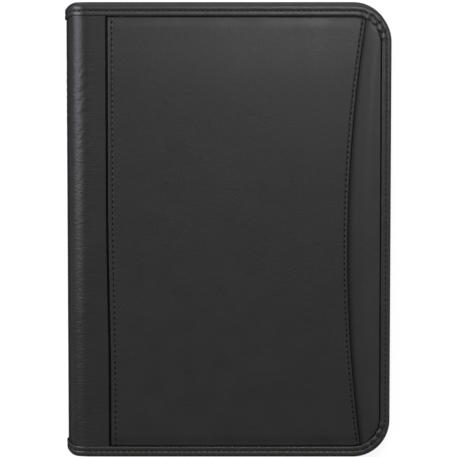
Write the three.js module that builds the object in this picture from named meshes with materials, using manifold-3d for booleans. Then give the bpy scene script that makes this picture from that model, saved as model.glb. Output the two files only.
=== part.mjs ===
// A zip-around padfolio, lying shut on its back cover with the front cover up.
// Millimetres. X runs from the spine to the fore edge, Y to the head, Z up.
// The origin is the middle of the outline, on the surface that it lies on.
import * as THREE from 'three';
import { mergeVertices } from 'three/addons/utils/BufferGeometryUtils.js';
import Module from 'manifold-3d';

// Writing pad, a letter-size one, which the case is made to hold
const padWidth = 215.9;
const padHeight = 279.4;
const padSheetsThickness = 5.4;
const padCardThickness = 0.8;
const headTapeThickness = 0.3;
const headTapeWidth = 12;

// Shut case: the room round the pad gives its width and height
const roomAtSpine = 17.4;
const roomAtFore = 7.7;
const roomAtEnds = 57.6;
const caseThickness = 30;
const foreCornerRadius = 27.5;
const spineCornerRadius = 8;
const gap = 0.3;
const cornerSteps = 14;

// Rounded spine
const spineDepth = 17;
const creaseAngle = 45;
const creaseGap = 0.6;
const bindingCreaseGap = 1.1;
const spineSteps = 16;

// Leather, boards and linings
const leatherThickness = 0.9;
const panelRise = 1.2;
const panelBevel = 0.9;
const backBoardThickness = 1.8;
const frontBoardThickness = 1.8;
const frontPaddingThickness = 0.9;
const spineBoardThickness = 1.2;
const spineBoardHalfAngle = 30;
const liningThickness = 0.5;

// Edge binding
const bindingWidth = 6.8;
const bindingInnerWidth = 5;
const bindingThickness = 0.7;
const bindingInnerThickness = 0.6;

// Front pocket panel with its bowed opening edge
const seamFromSpine = 32.5;
const seamOverlap = 6;
const pocketEdgeHeadFromFore = 16.9;
const pocketEdgeMiddleFromFore = 31.6;
const pocketEdgeFootFromFore = 20.6;
const pocketPanelThickness = 0.9;

// Zip
const tapeInset = 5;
const tapeThickness = 0.8;
const teethThickness = 2.4;
const teethWidth = 2.8;
const teethParting = 1.2;
const tapeEndFromSpine = 16.5;
const teethEndFromTapeEnd = 4;
const stopLength = 2;

// Zip slider and pull
const sliderLength = 9.5;
const sliderWidth = 8.6;
const sliderPlate = 1;
const sliderPost = 0.6;
const sliderPostLength = 3;
const sliderFromTeethEnd = 3;
const bailLength = 7;
const bailWidth = 2;
const bailThickness = 0.7;
const bailClearance = 1.4;
const pullLength = 25;
const pullWidth = 6.4;
const pullThickness = 0.8;
const pullEndFlat = 1.28;
const eyeWidth = 3.6;
const eyeLength = 5.5;

// Slot panel that holds the pad by its backing card
const padBelowCorner = 6;
const slotPanelThickness = 0.6;
const slotPanelHeight = 150;
const slotHemWidth = 1.6;

// Inside pockets on the front cover
const pocketLeatherThickness = 0.7;
const documentPocketHeight = 218;
const cardPocketCount = 3;
const cardPocketWidth = 98;
const cardPocketHeight = 62;
const cardPocketStep = 14;
const windowFromFore = 13;
const windowHeight = 64;
const windowBorder = 8;
const windowFilmThickness = 0.4;
const windowFilmMargin = 3;
const pocketsFromSpine = 30;
const pocketsBelowTop = 12;
const pocketsSpacing = 8;

// Pen loop
const penLoopBore = 8.6;
const penLoopThickness = 1;
const penLoopWidth = 26;
const penLoopSides = 24;

// Levels and places that follow from the sizes above
const caseWidth = roomAtSpine + padWidth + roomAtFore;
const caseHeight = padHeight + roomAtEnds;
const halfWidth = caseWidth / 2;
const halfHeight = caseHeight / 2;
const bindingProud = bindingThickness + gap;
const tangentX = bindingProud + spineDepth - halfWidth;
const middleZ = caseThickness / 2;
const spineHalfThickness = middleZ - panelRise;
const backPaddingThickness = panelRise - gap;
const backPaddingStart = leatherThickness + gap;
const backBoardStart = panelRise + leatherThickness + gap;
const backLiningStart = backBoardStart + backBoardThickness + gap;
const backLegStart = backLiningStart + liningThickness + gap;
const backInside = backLegStart + bindingInnerThickness;
const frontPaddingStart = panelRise + leatherThickness + gap;
const frontBoardStart = frontPaddingStart + frontPaddingThickness + gap;
const frontLiningStart = frontBoardStart + frontBoardThickness + gap;
const frontLegStart = frontLiningStart + liningThickness + gap;
const frontInside = frontLegStart + bindingInnerThickness;
const spineBoardStart = leatherThickness + gap;
const spineLiningStart = spineBoardStart + spineBoardThickness + gap;
const spineLegStart = spineLiningStart + liningThickness + gap;
const spineInside = spineLegStart + bindingInnerThickness;
const sheetInset = bindingThickness + gap;
const panelInset = bindingWidth + gap;
const boardInset = panelInset + panelBevel + gap;
const tapeEndX = tapeEndFromSpine - halfWidth;
const zipZ = (backInside + caseThickness - frontInside) / 2;
const far = 2 * (caseWidth + caseHeight);

const colours = {
  leather: '#2b2c2d',
  lining: '#1e1e20',
  board: '#8d7f6b',
  foam: '#3a3a3c',
  tape: '#1a1a1c',
  metal: '#8e9094',
  paper: '#f1efe4',
  card: '#a39278',
  film: '#dfe6ea',
  elastic: '#19191b',
};

const wasm = await Module();
wasm.setup();

// Turns a closed three.js geometry into a solid that can be cut and joined.
function solidOf(geometry) {
  const bare = geometry.index ? geometry.toNonIndexed() : geometry.clone();
  bare.deleteAttribute('normal');
  bare.deleteAttribute('uv');
  const merged = mergeVertices(bare, 1e-4);
  const vertProperties = new Float32Array(merged.attributes.position.array);
  const triVerts = new Uint32Array(merged.index.array);
  return new wasm.Manifold(new wasm.Mesh({ numProp: 3, vertProperties, triVerts }));
}

// Turns a solid back into a geometry that can be drawn.
function geometryOf(solid) {
  const mesh = solid.getMesh();
  const geometry = new THREE.BufferGeometry();
  const places = new THREE.BufferAttribute(new Float32Array(mesh.vertProperties), 3);
  geometry.setAttribute('position', places);
  geometry.setIndex(new THREE.BufferAttribute(new Uint32Array(mesh.triVerts), 1));
  geometry.computeVertexNormals();
  return geometry;
}

// A rounded rectangle between two corners, with its own radius on each side.
function roundedOutline(left, right, low, high, leftRadius, rightRadius) {
  const quarter = Math.PI / 2;
  const corners = [
    { x: right - rightRadius, y: low + rightRadius, radius: rightRadius, from: -quarter },
    { x: right - rightRadius, y: high - rightRadius, radius: rightRadius, from: 0 },
    { x: left + leftRadius, y: high - leftRadius, radius: leftRadius, from: quarter },
    { x: left + leftRadius, y: low + leftRadius, radius: leftRadius, from: 2 * quarter },
  ];
  const points = corners.flatMap(({ x, y, radius, from }) => {
    const count = radius > 0 ? cornerSteps : 0;
    return Array.from({ length: count + 1 }, (_, i) => {
      const angle = from + (quarter * i) / cornerSteps;
      return new THREE.Vector2(x + radius * Math.cos(angle), y + radius * Math.sin(angle));
    });
  });
  return new THREE.Shape(points);
}

// The outline of the case seen from above, drawn in by an inset.
function caseOutline(inset) {
  const x = halfWidth - inset;
  const y = halfHeight - inset;
  const spineRadius = spineCornerRadius - inset;
  return roundedOutline(-x, x, -y, y, Math.max(spineRadius, 0), foreCornerRadius - inset);
}

// The same outline, left open at the spine so that a cut runs right through it.
function openOutline(inset) {
  const y = halfHeight - inset;
  return roundedOutline(-far, halfWidth - inset, -y, y, 0, foreCornerRadius - inset);
}

// A plate of one outline between two heights, with an optional bevel at one face.
function plate(shape, low, high, bevel = 0, bevelUp = true) {
  const settings = { depth: high - low, bevelEnabled: false, curveSegments: 9 };
  const whole = solidOf(new THREE.ExtrudeGeometry(shape, settings).translate(0, 0, low));
  if (bevel === 0) {
    return whole;
  }
  const eased = {
    depth: far,
    bevelEnabled: true,
    bevelThickness: bevel,
    bevelSize: bevel,
    bevelOffset: -bevel,
    bevelSegments: 3,
    curveSegments: 9,
  };
  const tool = new THREE.ExtrudeGeometry(shape, eased);
  const shift = bevelUp ? high - far - bevel : low + bevel;
  return whole.intersect(solidOf(tool.translate(0, 0, shift)));
}

// A plain block given by its lowest and highest corners.
function block(lowX, highX, lowY, highY, lowZ, highZ) {
  const box = new THREE.BoxGeometry(highX - lowX, highY - lowY, highZ - lowZ);
  box.translate((lowX + highX) / 2, (lowY + highY) / 2, (lowZ + highZ) / 2);
  return solidOf(box);
}

// A point of the rounded spine: 0 degrees at the back cover, 180 at the front.
function spinePoint(degrees) {
  const angle = THREE.MathUtils.degToRad(degrees);
  const x = tangentX - spineDepth * Math.sin(angle);
  const z = middleZ - spineHalfThickness * Math.cos(angle);
  const inward = new THREE.Vector2(
    Math.sin(angle) / spineDepth,
    Math.cos(angle) / spineHalfThickness,
  ).normalize();
  return { x, z, inward };
}

// Points round the spine from one angle to another.
function spineRun(from, to) {
  const count = Math.max(2, Math.round((spineSteps * (to - from)) / 180));
  return Array.from({ length: count + 1 }, (_, i) => spinePoint(from + ((to - from) * i) / count));
}

const arcPerDegree = (Math.PI / 180) * Math.hypot(spineDepth, spineHalfThickness) / Math.SQRT2;
const foreZ = { back: panelRise, front: caseThickness - panelRise };

// The three folded sections of the case, which part at the creases by a gap.
function foldedSections(partedBy) {
  const half = partedBy / 2 / arcPerDegree;
  return {
    back: [
      { x: far, z: foreZ.back, inward: new THREE.Vector2(0, 1) },
      ...spineRun(0, creaseAngle - half),
    ],
    spine: spineRun(creaseAngle + half, 180 - creaseAngle - half),
    front: [
      ...spineRun(180 - creaseAngle + half, 180),
      { x: far, z: foreZ.front, inward: new THREE.Vector2(0, -1) },
    ],
  };
}

const sections = foldedSections(creaseGap);
const bindingSections = foldedSections(bindingCreaseGap);

// A folded sheet that follows one section, between two depths below the leather's face.
function foldedSheet(section, outer, inner) {
  const at = (point, depth) =>
    new THREE.Vector2(point.x + point.inward.x * depth, point.z + point.inward.y * depth);
  const outside = section.map((point) => at(point, outer));
  const inside = section.map((point) => at(point, inner)).reverse();
  const shape = new THREE.Shape([...outside, ...inside]);
  const sheet = new THREE.ExtrudeGeometry(shape, { depth: far, bevelEnabled: false });
  return solidOf(sheet.rotateX(Math.PI / 2).translate(0, far / 2, 0));
}

// A full-height prism of an outline, used to trim and to hollow.
function prism(shape) {
  return plate(shape, -far, far);
}

const outlinePrism = prism(caseOutline(0));
const sheetPrism = prism(caseOutline(sheetInset));
const legPrism = prism(caseOutline(bindingThickness));

// A folded sheet trimmed to run under the binding.
function trimmedSheet(section, outer, inner) {
  return foldedSheet(section, outer, inner).intersect(sheetPrism);
}

// The binding: a channel wrapped over the edges of one section.
function binding(section, innerLeg) {
  const outerFace = -bindingProud;
  const body = foldedSheet(section, outerFace, innerLeg + bindingInnerThickness);
  const slot = foldedSheet(section, outerFace + bindingThickness, innerLeg).intersect(legPrism);
  const window = foldedSheet(section, innerLeg, innerLeg + 2 * bindingInnerThickness);
  return body
    .intersect(outlinePrism)
    .subtract(prism(openOutline(bindingWidth)))
    .subtract(slot)
    .subtract(window.intersect(prism(openOutline(bindingInnerWidth))));
}

const group = new THREE.Group();

// Adds one named piece with its own material.
function addPiece(name, solid, colour, roughness = 0.7, metalness = 0, parent = group) {
  const material = new THREE.MeshStandardMaterial({ color: colour, roughness, metalness });
  const mesh = new THREE.Mesh(geometryOf(solid), material);
  mesh.name = name;
  parent.add(mesh);
  return mesh;
}

// A plate on the flat part of a cover: inset from the outline, and cut off at the spine.
function coverPlate(inset, fromX, low, high, bevel = 0, bevelUp = true) {
  const x = halfWidth - inset;
  const y = halfHeight - inset;
  const shape = roundedOutline(fromX, x, -y, y, 0, foreCornerRadius - inset);
  return plate(shape, low, high, bevel, bevelUp);
}

const boardLeft = tangentX + gap;
const foldLeft = boardLeft + panelBevel;

// Back cover: leather raised over its padding, board, lining and binding
function addBackCover() {
  const leatherEnd = panelRise + leatherThickness;
  const raised = coverPlate(panelInset, boardLeft, 0, leatherEnd, panelBevel, false);
  const hollow = coverPlate(boardInset, foldLeft, leatherThickness, leatherEnd + gap);
  const leather = trimmedSheet(sections.back, 0, leatherThickness).add(raised).subtract(hollow);
  addPiece('back_cover_leather', leather, colours.leather, 0.55);

  const paddingInset = boardInset + gap;
  const paddingEnd = backPaddingStart + backPaddingThickness;
  const padding = coverPlate(paddingInset, foldLeft + gap, backPaddingStart, paddingEnd);
  addPiece('back_cover_padding', padding, colours.foam, 0.9);

  const board = coverPlate(boardInset, boardLeft, backBoardStart, backBoardStart + backBoardThickness);
  addPiece('back_cover_board', board, colours.board, 0.9);

  const liningStart = backLiningStart - panelRise;
  const lining = trimmedSheet(sections.back, liningStart, liningStart + liningThickness);
  addPiece('back_cover_lining', lining, colours.lining, 0.85);

  const edge = binding(bindingSections.back, backLegStart - panelRise);
  addPiece('back_cover_binding', edge, colours.leather, 0.5);
}

// Spine: leather, stiffener, lining and a binding over each end
function addSpine() {
  addPiece('spine_leather', trimmedSheet(sections.spine, 0, leatherThickness), colours.leather, 0.45);

  const boardSection = spineRun(90 - spineBoardHalfAngle, 90 + spineBoardHalfAngle);
  const board = foldedSheet(boardSection, spineBoardStart, spineBoardStart + spineBoardThickness);
  const boardTrim = prism(openOutline(boardInset));
  addPiece('spine_board', board.intersect(boardTrim), colours.board, 0.9);

  const lining = trimmedSheet(sections.spine, spineLiningStart, spineLiningStart + liningThickness);
  addPiece('spine_lining', lining, colours.lining, 0.85);

  const ends = binding(bindingSections.spine, spineLegStart);
  const headHalf = block(-far, far, 0, far, -far, far);
  addPiece('spine_binding_head', ends.intersect(headHalf), colours.leather, 0.5);
  addPiece('spine_binding_foot', ends.subtract(headHalf), colours.leather, 0.5);
}

const penLoopRadius = penLoopBore / 2 + penLoopThickness;
const penLoopX = spineInside + gap + penLoopRadius - halfWidth + bindingProud;

// Pen loop: an elastic ring sewn to the middle of the spine's lining
function addPenLoop() {
  const ring = new THREE.Shape();
  ring.absarc(0, 0, penLoopRadius, 0, 2 * Math.PI);
  ring.holes.push(new THREE.Path().absarc(0, 0, penLoopBore / 2, 0, 2 * Math.PI));
  const settings = { depth: penLoopWidth, bevelEnabled: false, curveSegments: penLoopSides };
  const loop = new THREE.ExtrudeGeometry(ring, settings);
  loop.rotateX(Math.PI / 2).translate(penLoopX, penLoopWidth / 2, middleZ);
  addPiece('pen_loop', solidOf(loop), colours.elastic, 0.9);
}

const seamX = seamFromSpine - halfWidth;
const pocketEdgeHeadX = halfWidth - pocketEdgeHeadFromFore;
const pocketEdgeMiddleX = halfWidth - pocketEdgeMiddleFromFore;
const pocketEdgeFootX = halfWidth - pocketEdgeFootFromFore;

// The plan of the pocket panel: straight at the seam, bowed inwards at the opening.
function pocketPanelPrism() {
  const y = halfHeight - panelInset;
  const shape = new THREE.Shape();
  shape.moveTo(seamX, -y);
  const bowX = 2 * pocketEdgeMiddleX - (pocketEdgeHeadX + pocketEdgeFootX) / 2;
  shape.lineTo(pocketEdgeFootX, -y);
  shape.quadraticCurveTo(bowX, 0, pocketEdgeHeadX, y);
  shape.lineTo(seamX, y);
  shape.closePath();
  const top = caseThickness;
  const panel = plate(shape, top - pocketPanelThickness, top, pocketPanelThickness / 2);
  return panel.intersect(prism(openOutline(panelInset)));
}

// Front cover: spine leather, base panel, pocket panel, padding, board, lining and binding
function addFrontCover() {
  const top = caseThickness;
  const wrapEndX = seamX + seamOverlap;
  const sheet = trimmedSheet(sections.front, 0, leatherThickness);
  const wrapSide = block(-far, wrapEndX, -far, far, -far, far);
  const baseSide = block(wrapEndX + gap, far, -far, far, -far, far);
  addPiece('front_spine_wrap', sheet.intersect(wrapSide), colours.leather, 0.45);
  addPiece('front_base_panel', sheet.intersect(baseSide), colours.leather, 0.55);
  addPiece('front_pocket_panel', pocketPanelPrism(), colours.leather, 0.55);

  const paddingHigh = top - frontPaddingStart;
  const padding = coverPlate(boardInset, boardLeft, paddingHigh - frontPaddingThickness, paddingHigh);
  addPiece('front_cover_padding', padding, colours.foam, 0.9);

  const boardHigh = top - frontBoardStart;
  const board = coverPlate(boardInset, boardLeft, boardHigh - frontBoardThickness, boardHigh);
  addPiece('front_cover_board', board, colours.board, 0.9);

  const liningStart = frontLiningStart - panelRise;
  const lining = trimmedSheet(sections.front, liningStart, liningStart + liningThickness);
  addPiece('front_cover_lining', lining, colours.lining, 0.85);

  const edge = binding(bindingSections.front, frontLegStart - panelRise);
  addPiece('front_cover_binding', edge, colours.leather, 0.5);
}

// A wall that stands on the edge of a cover and runs round it from spine to spine.
function edgeWall(thickness, fromX, low, high) {
  const outer = caseOutline(tapeInset - thickness / 2);
  const inner = openOutline(tapeInset + thickness / 2);
  return plate(outer, low, high)
    .subtract(prism(inner))
    .intersect(block(fromX, far, -far, far, -far, far));
}

const teethEndX = tapeEndX + teethEndFromTapeEnd;
const backTeethHigh = zipZ - teethParting / 2;
const backTeethLow = backTeethHigh - teethWidth;
const frontTeethLow = zipZ + teethParting / 2;
const frontTeethHigh = frontTeethLow + teethWidth;

// Zip: a tape and a row of teeth on each cover, with a stop at each end of each row
function addZip() {
  const frontFloor = caseThickness - frontInside - gap;
  const backTape = edgeWall(tapeThickness, tapeEndX, backInside + gap, backTeethLow - gap);
  const frontTape = edgeWall(tapeThickness, tapeEndX, frontTeethHigh + gap, frontFloor);
  addPiece('back_zip_tape', backTape, colours.tape, 0.9);
  addPiece('front_zip_tape', frontTape, colours.tape, 0.9);

  const backTeeth = edgeWall(teethThickness, teethEndX, backTeethLow, backTeethHigh);
  const frontTeeth = edgeWall(teethThickness, teethEndX, frontTeethLow, frontTeethHigh);
  addPiece('back_zip_teeth', backTeeth, colours.metal, 0.4, 0.8);
  addPiece('front_zip_teeth', frontTeeth, colours.metal, 0.4, 0.8);

  const stopHighX = teethEndX - gap;
  const stopY = halfHeight - tapeInset;
  const rows = { back: backTeethLow, front: frontTeethLow };
  const ends = { foot: -stopY, head: stopY };
  for (const [row, low] of Object.entries(rows)) {
    for (const [end, y] of Object.entries(ends)) {
      const half = teethThickness / 2;
      const stop = block(stopHighX - stopLength, stopHighX, y - half, y + half, low, low + teethWidth);
      addPiece(`zip_stop_${row}_${end}`, stop, colours.metal, 0.35, 0.9);
    }
  }
}

const sliderX = teethEndX + sliderFromTeethEnd + sliderLength / 2;
const outerPlateY = teethThickness / 2 + gap;
const bailUnderY = outerPlateY + sliderPlate + bailClearance;
const pullAxisY = outerPlateY + sliderPlate + bailClearance / 2;

// A part of the slider: centred on the chain, with Y measured outwards from it.
function sliderBlock(length, nearY, farY, width, atX = 0) {
  const lowX = atX - length / 2;
  return block(lowX, lowX + length, -farY, -nearY, -width / 2, width / 2);
}

// Slider: two plates on either side of the teeth, a post between the rows and a bail
function sliderSolid() {
  const outer = sliderBlock(sliderLength, outerPlateY, outerPlateY + sliderPlate, sliderWidth);
  const inner = sliderBlock(sliderLength, -outerPlateY - sliderPlate, -outerPlateY, sliderWidth);
  const postX = (sliderLength - sliderPostLength) / 2;
  const postReach = outerPlateY + sliderPlate / 2;
  const post = sliderBlock(sliderPostLength, -postReach, postReach, sliderPost, postX);
  const plateFace = outerPlateY + sliderPlate / 2;
  const arch = sliderBlock(bailLength, plateFace, bailUnderY + bailThickness, bailWidth);
  const underBail = sliderBlock(
    bailLength - 2 * bailThickness,
    outerPlateY + sliderPlate,
    bailUnderY,
    2 * bailWidth,
  );
  return outer.add(inner).add(post).add(arch.subtract(underBail));
}

// Pull tab: a flat tongue with an eye whose end bar turns under the bail
function pullSolid() {
  const bar = pullThickness;
  const high = pullLength - bar / 2;
  const half = pullWidth / 2;
  const endRadius = half - pullEndFlat / 2;
  const shape = roundedOutline(-bar / 2, high, -half, half, bar / 2, endRadius);
  const eye = roundedOutline(bar / 2, eyeLength, -eyeWidth / 2, eyeWidth / 2, 0, bar / 2);
  const tongue = plate(shape, -bar / 2, bar / 2);
  return tongue.subtract(prism(eye));
}

function addSlider() {
  const place = new THREE.Group();
  place.position.set(sliderX, tapeInset - halfHeight, zipZ);
  addPiece('zip_slider', sliderSolid(), colours.metal, 0.3, 0.9, place);
  const pull = addPiece('zip_pull_tab', pullSolid(), colours.metal, 0.3, 0.9, place);
  pull.position.set(0, -pullAxisY, 0);
  pull.rotation.x = Math.PI / 2;
  group.add(place);
}

const padLeft = roomAtSpine - halfWidth;
const padRight = halfWidth - roomAtFore;
const padFoot = foreCornerRadius - padBelowCorner - halfHeight;
const padHead = padFoot + padHeight;
const liningInside = backLiningStart + liningThickness;
const padCardLow = liningInside + 2 * gap + headTapeThickness;
const padCardHigh = padCardLow + padCardThickness;
const slotPanelLow = padCardHigh + gap;
const slotPanelHigh = slotPanelLow + slotPanelThickness;
const padSheetsLow = slotPanelHigh + gap;
const padSheetsHigh = padSheetsLow + padSheetsThickness;

// Writing pad: backing card behind the slot panel, sheets in front, one tape over the head
function addPad() {
  const card = block(padLeft, padRight, padFoot, padHead, padCardLow, padCardHigh);
  const sheets = block(padLeft, padRight, padFoot, padHead, padSheetsLow, padSheetsHigh);
  addPiece('pad_backing_card', card, colours.card, 0.9);
  addPiece('pad_sheets', sheets, colours.paper, 0.85);

  const tapeLow = padCardLow - gap - headTapeThickness;
  const tapeHigh = padSheetsHigh + gap + headTapeThickness;
  const tapeFoot = padHead - headTapeWidth;
  const tapeHead = padHead + gap + headTapeThickness;
  const tape = block(padLeft, padRight, tapeFoot, tapeHead, tapeLow, tapeHigh);
  const within = block(
    padLeft - gap,
    padRight + gap,
    tapeFoot - gap,
    padHead + gap,
    padCardLow - gap,
    padSheetsHigh + gap,
  );
  addPiece('pad_head_tape', tape.subtract(within), colours.lining, 0.8);

  const slotFoot = padFoot - gap - slotHemWidth;
  const slotHead = slotFoot + slotPanelHeight;
  const floor = liningInside + gap;
  const slotLeft = padLeft - gap;
  const slotRight = padRight + gap;
  const panel = block(
    slotLeft - slotHemWidth,
    slotRight + slotHemWidth,
    slotFoot,
    slotHead,
    floor,
    slotPanelHigh,
  );
  const slot = block(slotLeft, slotRight, slotFoot + slotHemWidth, far, floor - gap, slotPanelLow);
  const insideWall = prism(caseOutline(tapeInset + tapeThickness / 2 + gap));
  addPiece('pad_slot_panel', panel.subtract(slot).intersect(insideWall), colours.leather);
}

// Inside pockets: a document pocket, stepped card pockets and a clear window in a frame
function addInsidePockets() {
  const left = pocketsFromSpine - halfWidth;
  const pocketInset = bindingInnerWidth + gap;
  let high = caseThickness - frontLiningStart - liningThickness - gap;
  const low = () => high - pocketLeatherThickness;
  const footY = pocketInset - halfHeight;
  const documentTop = footY + documentPocketHeight;
  const whole = coverPlate(pocketInset, left, low(), high);
  const below = block(-far, far, -far, documentTop, -far, far);
  addPiece('document_pocket', whole.intersect(below), colours.lining, 0.6);

  high = low() - gap;
  const cardsLeft = left + pocketsSpacing;
  const cardsFoot = documentTop - pocketsBelowTop - cardPocketHeight;
  const layersTop = high;
  for (let i = 0; i < cardPocketCount; i += 1) {
    const top = cardsFoot + cardPocketHeight - i * cardPocketStep;
    const card = block(cardsLeft, cardsLeft + cardPocketWidth, cardsFoot, top, low(), high);
    addPiece(`card_pocket_${i + 1}`, card, colours.lining, 0.6);
    high = low() - gap;
  }

  const windowLeft = cardsLeft + cardPocketWidth + pocketsSpacing;
  const windowRight = halfWidth - windowFromFore;
  const windowFoot = documentTop - pocketsBelowTop - windowHeight;
  const film = block(
    windowLeft + windowFilmMargin,
    windowRight - windowFilmMargin,
    windowFoot + windowFilmMargin,
    windowFoot + windowHeight - windowFilmMargin,
    layersTop - windowFilmThickness,
    layersTop,
  );
  addPiece('card_window_film', film, colours.film, 0.1);
  const frameHigh = layersTop - windowFilmThickness - gap;
  const frameLow = frameHigh - pocketLeatherThickness;
  const outer = block(
    windowLeft,
    windowRight,
    windowFoot,
    windowFoot + windowHeight,
    frameLow,
    frameHigh,
  );
  const opening = block(
    windowLeft + windowBorder,
    windowRight - windowBorder,
    windowFoot + windowBorder,
    windowFoot + windowHeight - windowBorder,
    frameLow - gap,
    frameHigh + gap,
  );
  addPiece('card_window_frame', outer.subtract(opening), colours.lining, 0.6);
}

addBackCover();
addSpine();
addPenLoop();
addFrontCover();
addZip();
addSlider();
addPad();
addInsidePockets();

export default group;
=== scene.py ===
"""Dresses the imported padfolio: leather, binding, threads, zip, pad and pockets, in a pale studio."""

import logging
import math
from collections.abc import Callable, Iterable, Mapping, Sequence
from dataclasses import dataclass, field, replace
from enum import Enum

import bmesh
import bpy
from mathutils import Matrix, Vector, noise


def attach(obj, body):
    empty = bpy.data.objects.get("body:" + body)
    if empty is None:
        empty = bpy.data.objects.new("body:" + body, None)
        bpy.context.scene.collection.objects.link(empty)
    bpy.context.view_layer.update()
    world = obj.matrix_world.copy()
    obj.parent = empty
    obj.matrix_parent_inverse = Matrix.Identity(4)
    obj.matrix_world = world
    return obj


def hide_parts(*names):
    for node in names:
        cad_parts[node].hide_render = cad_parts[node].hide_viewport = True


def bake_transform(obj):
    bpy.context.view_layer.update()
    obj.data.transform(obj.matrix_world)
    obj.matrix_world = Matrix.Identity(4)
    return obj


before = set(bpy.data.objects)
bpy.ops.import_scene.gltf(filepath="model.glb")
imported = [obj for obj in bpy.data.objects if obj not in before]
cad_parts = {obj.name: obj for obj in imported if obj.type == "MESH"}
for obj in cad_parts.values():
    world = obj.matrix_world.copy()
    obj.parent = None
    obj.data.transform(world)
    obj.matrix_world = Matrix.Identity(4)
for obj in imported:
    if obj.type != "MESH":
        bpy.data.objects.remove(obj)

Tree = bpy.types.NodeTree
Node = bpy.types.Node
Socket = bpy.types.NodeSocket
Piece = bpy.types.Object
Shape = bmesh.types.BMesh

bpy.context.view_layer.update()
MM = 0.001
LOG = logging.getLogger("padfolio")
# Mesh attribute for the painted shade on leather: where it is 1, the colour goes to the painted shade
# colour and the shine is gone
PAINTED_SHADE_LAYER = "painted_shade"


# Nodes


def linear(colour: str) -> tuple[float, float, float, float]:
    """Turn an sRGB hex colour into the linear one that a shader socket takes.

    Args:
        colour: The colour as #rrggbb.

    Returns:
        Red, green, blue and an alpha of 1.
    """
    parts = [int(colour[i : i + 2], 16) / 255 for i in (1, 3, 5)]
    red, green, blue = (p / 12.92 if p <= 0.04045 else ((p + 0.055) / 1.055) ** 2.4 for p in parts)
    return red, green, blue, 1.0


def add_node(
    tree: Tree,
    kind: str,
    settings: Mapping[str, object] | None = None,
    inputs: Mapping[str | int, object] | None = None,
) -> Node:
    """Add one node with its settings and links.

    Args:
        tree: The node tree it goes in.
        kind: The node's type.
        settings: The node's own properties.
        inputs: What its sockets hold: a value, or the socket of another node to link.

    Returns:
        The new node.
    """
    node = tree.nodes.new(kind)
    for key, value in (settings or {}).items():
        setattr(node, key, value)
    for key, value in (inputs or {}).items():
        if isinstance(value, Socket):
            tree.links.new(value, node.inputs[key])
        else:
            node.inputs[key].default_value = value
    return node


def sum_up(tree: Tree, operation: str, *values: float | Socket) -> Socket:
    """Work out one number from others with a Math node, and return its socket."""
    node = add_node(tree, "ShaderNodeMath", {"operation": operation}, dict(enumerate(values)))
    return node.outputs["Value"]


def remap(
    tree: Tree,
    value: Socket,
    source: tuple[float, float] = (0.0, 1.0),
    target: tuple[float | Socket, float] = (0.0, 1.0),
    easing: str = "LINEAR",
) -> Socket:
    """Carry a value over from one range to another.

    Args:
        tree: The node tree.
        value: The value.
        source: The range that it comes from.
        target: The range that it goes to.
        easing: How it moves between their ends.

    Returns:
        The socket with the result.
    """
    ends = dict(zip(("From Min", "From Max", "To Min", "To Max"), (*source, *target)))
    inputs = {"Value": value, **ends}
    node = add_node(tree, "ShaderNodeMapRange", {"interpolation_type": easing}, inputs)
    return node.outputs["Result"]


def speckle(tree: Tree, place: Socket, size_mm: float, detail: float) -> Socket:
    """Lay a noise texture with patches of a size, and return the socket with its height."""
    inputs = {"Vector": place, "Scale": 1 / (size_mm * MM), "Detail": detail}
    return add_node(tree, "ShaderNodeTexNoise", inputs=inputs).outputs["Fac"]


def emboss(
    tree: Tree,
    depth_mm: float,
    height: Socket,
    more: Mapping[str, Socket] | None = None,
    invert: bool = False,
) -> Socket:
    """Press a relief into the surface, and return the socket with the normal."""
    inputs = {"Distance": depth_mm * MM, "Height": height, **(more or {})}
    return add_node(tree, "ShaderNodeBump", {"invert": invert}, inputs).outputs["Normal"]


def tint(tree: Tree, share: Socket, under: Socket | tuple, over: tuple) -> Socket:
    """Lay a share of one colour over another, and return the socket with the colour."""
    # Sockets 6 and 7 are the Mix node's two colours, and output 2 is the mixed one
    inputs = {"Factor": share, 6: under, 7: over}
    return add_node(tree, "ShaderNodeMix", {"data_type": "RGBA"}, inputs).outputs[2]


# Finishes


class Pattern(Enum):
    """Where a finish's pattern is laid."""

    IN_SPACE = "Object"
    ON_SURFACE = "UV"


@dataclass(frozen=True)
class Finish:
    """One finish, with what every one of them has."""

    name: str
    dark: str
    light: str
    roughness: float
    sheen: float = 0.0
    specular: float = 0.5
    metallic: float = 0.0
    patch_mm: float = 18.0
    patch_detail: float = 4.0
    patch_range: tuple[float, float] = (0.3, 0.7)
    roughness_spread: float = 0.06
    laid: Pattern = Pattern.IN_SPACE

    def material(self) -> bpy.types.Material:
        """Return the finish's material, made on its first use."""
        made = bpy.data.materials.get(self.name)
        if made is not None:
            return made
        made = bpy.data.materials.new(self.name)
        made.use_nodes = True
        tree = made.node_tree
        tree.nodes.clear()
        place = add_node(tree, "ShaderNodeTexCoord").outputs[self.laid.value]
        patches = speckle(tree, place, self.patch_mm, self.patch_detail)
        rough = (self.roughness - self.roughness_spread, self.roughness + self.roughness_spread)
        shader = add_node(
            tree,
            "ShaderNodeBsdfPrincipled",
            inputs={
                "Base Color": self.colour(tree, place, patches),
                "Roughness": remap(tree, patches, self.patch_range, rough),
                "Metallic": self.metallic,
                "Sheen Weight": self.sheen,
                "Specular IOR Level": self.specular,
                "Normal": self.relief(tree, place),
            },
        )
        self.shine(tree, shader)
        add_node(tree, "ShaderNodeOutputMaterial", inputs={"Surface": shader.outputs["BSDF"]})
        return made

    def colour(self, tree: Tree, place: Socket, patches: Socket) -> Socket:
        """Return the colour: the two colours, mixed by the slow patches."""
        return tint(tree, patches, linear(self.dark), linear(self.light))

    def relief(self, tree: Tree, place: Socket) -> Socket:
        """Return the normal, with the finish's fine relief."""
        raise NotImplementedError

    def shine(self, tree: Tree, shader: Node) -> None:
        """Change how the surface shines; a plain finish leaves the shader as it is."""


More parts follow.
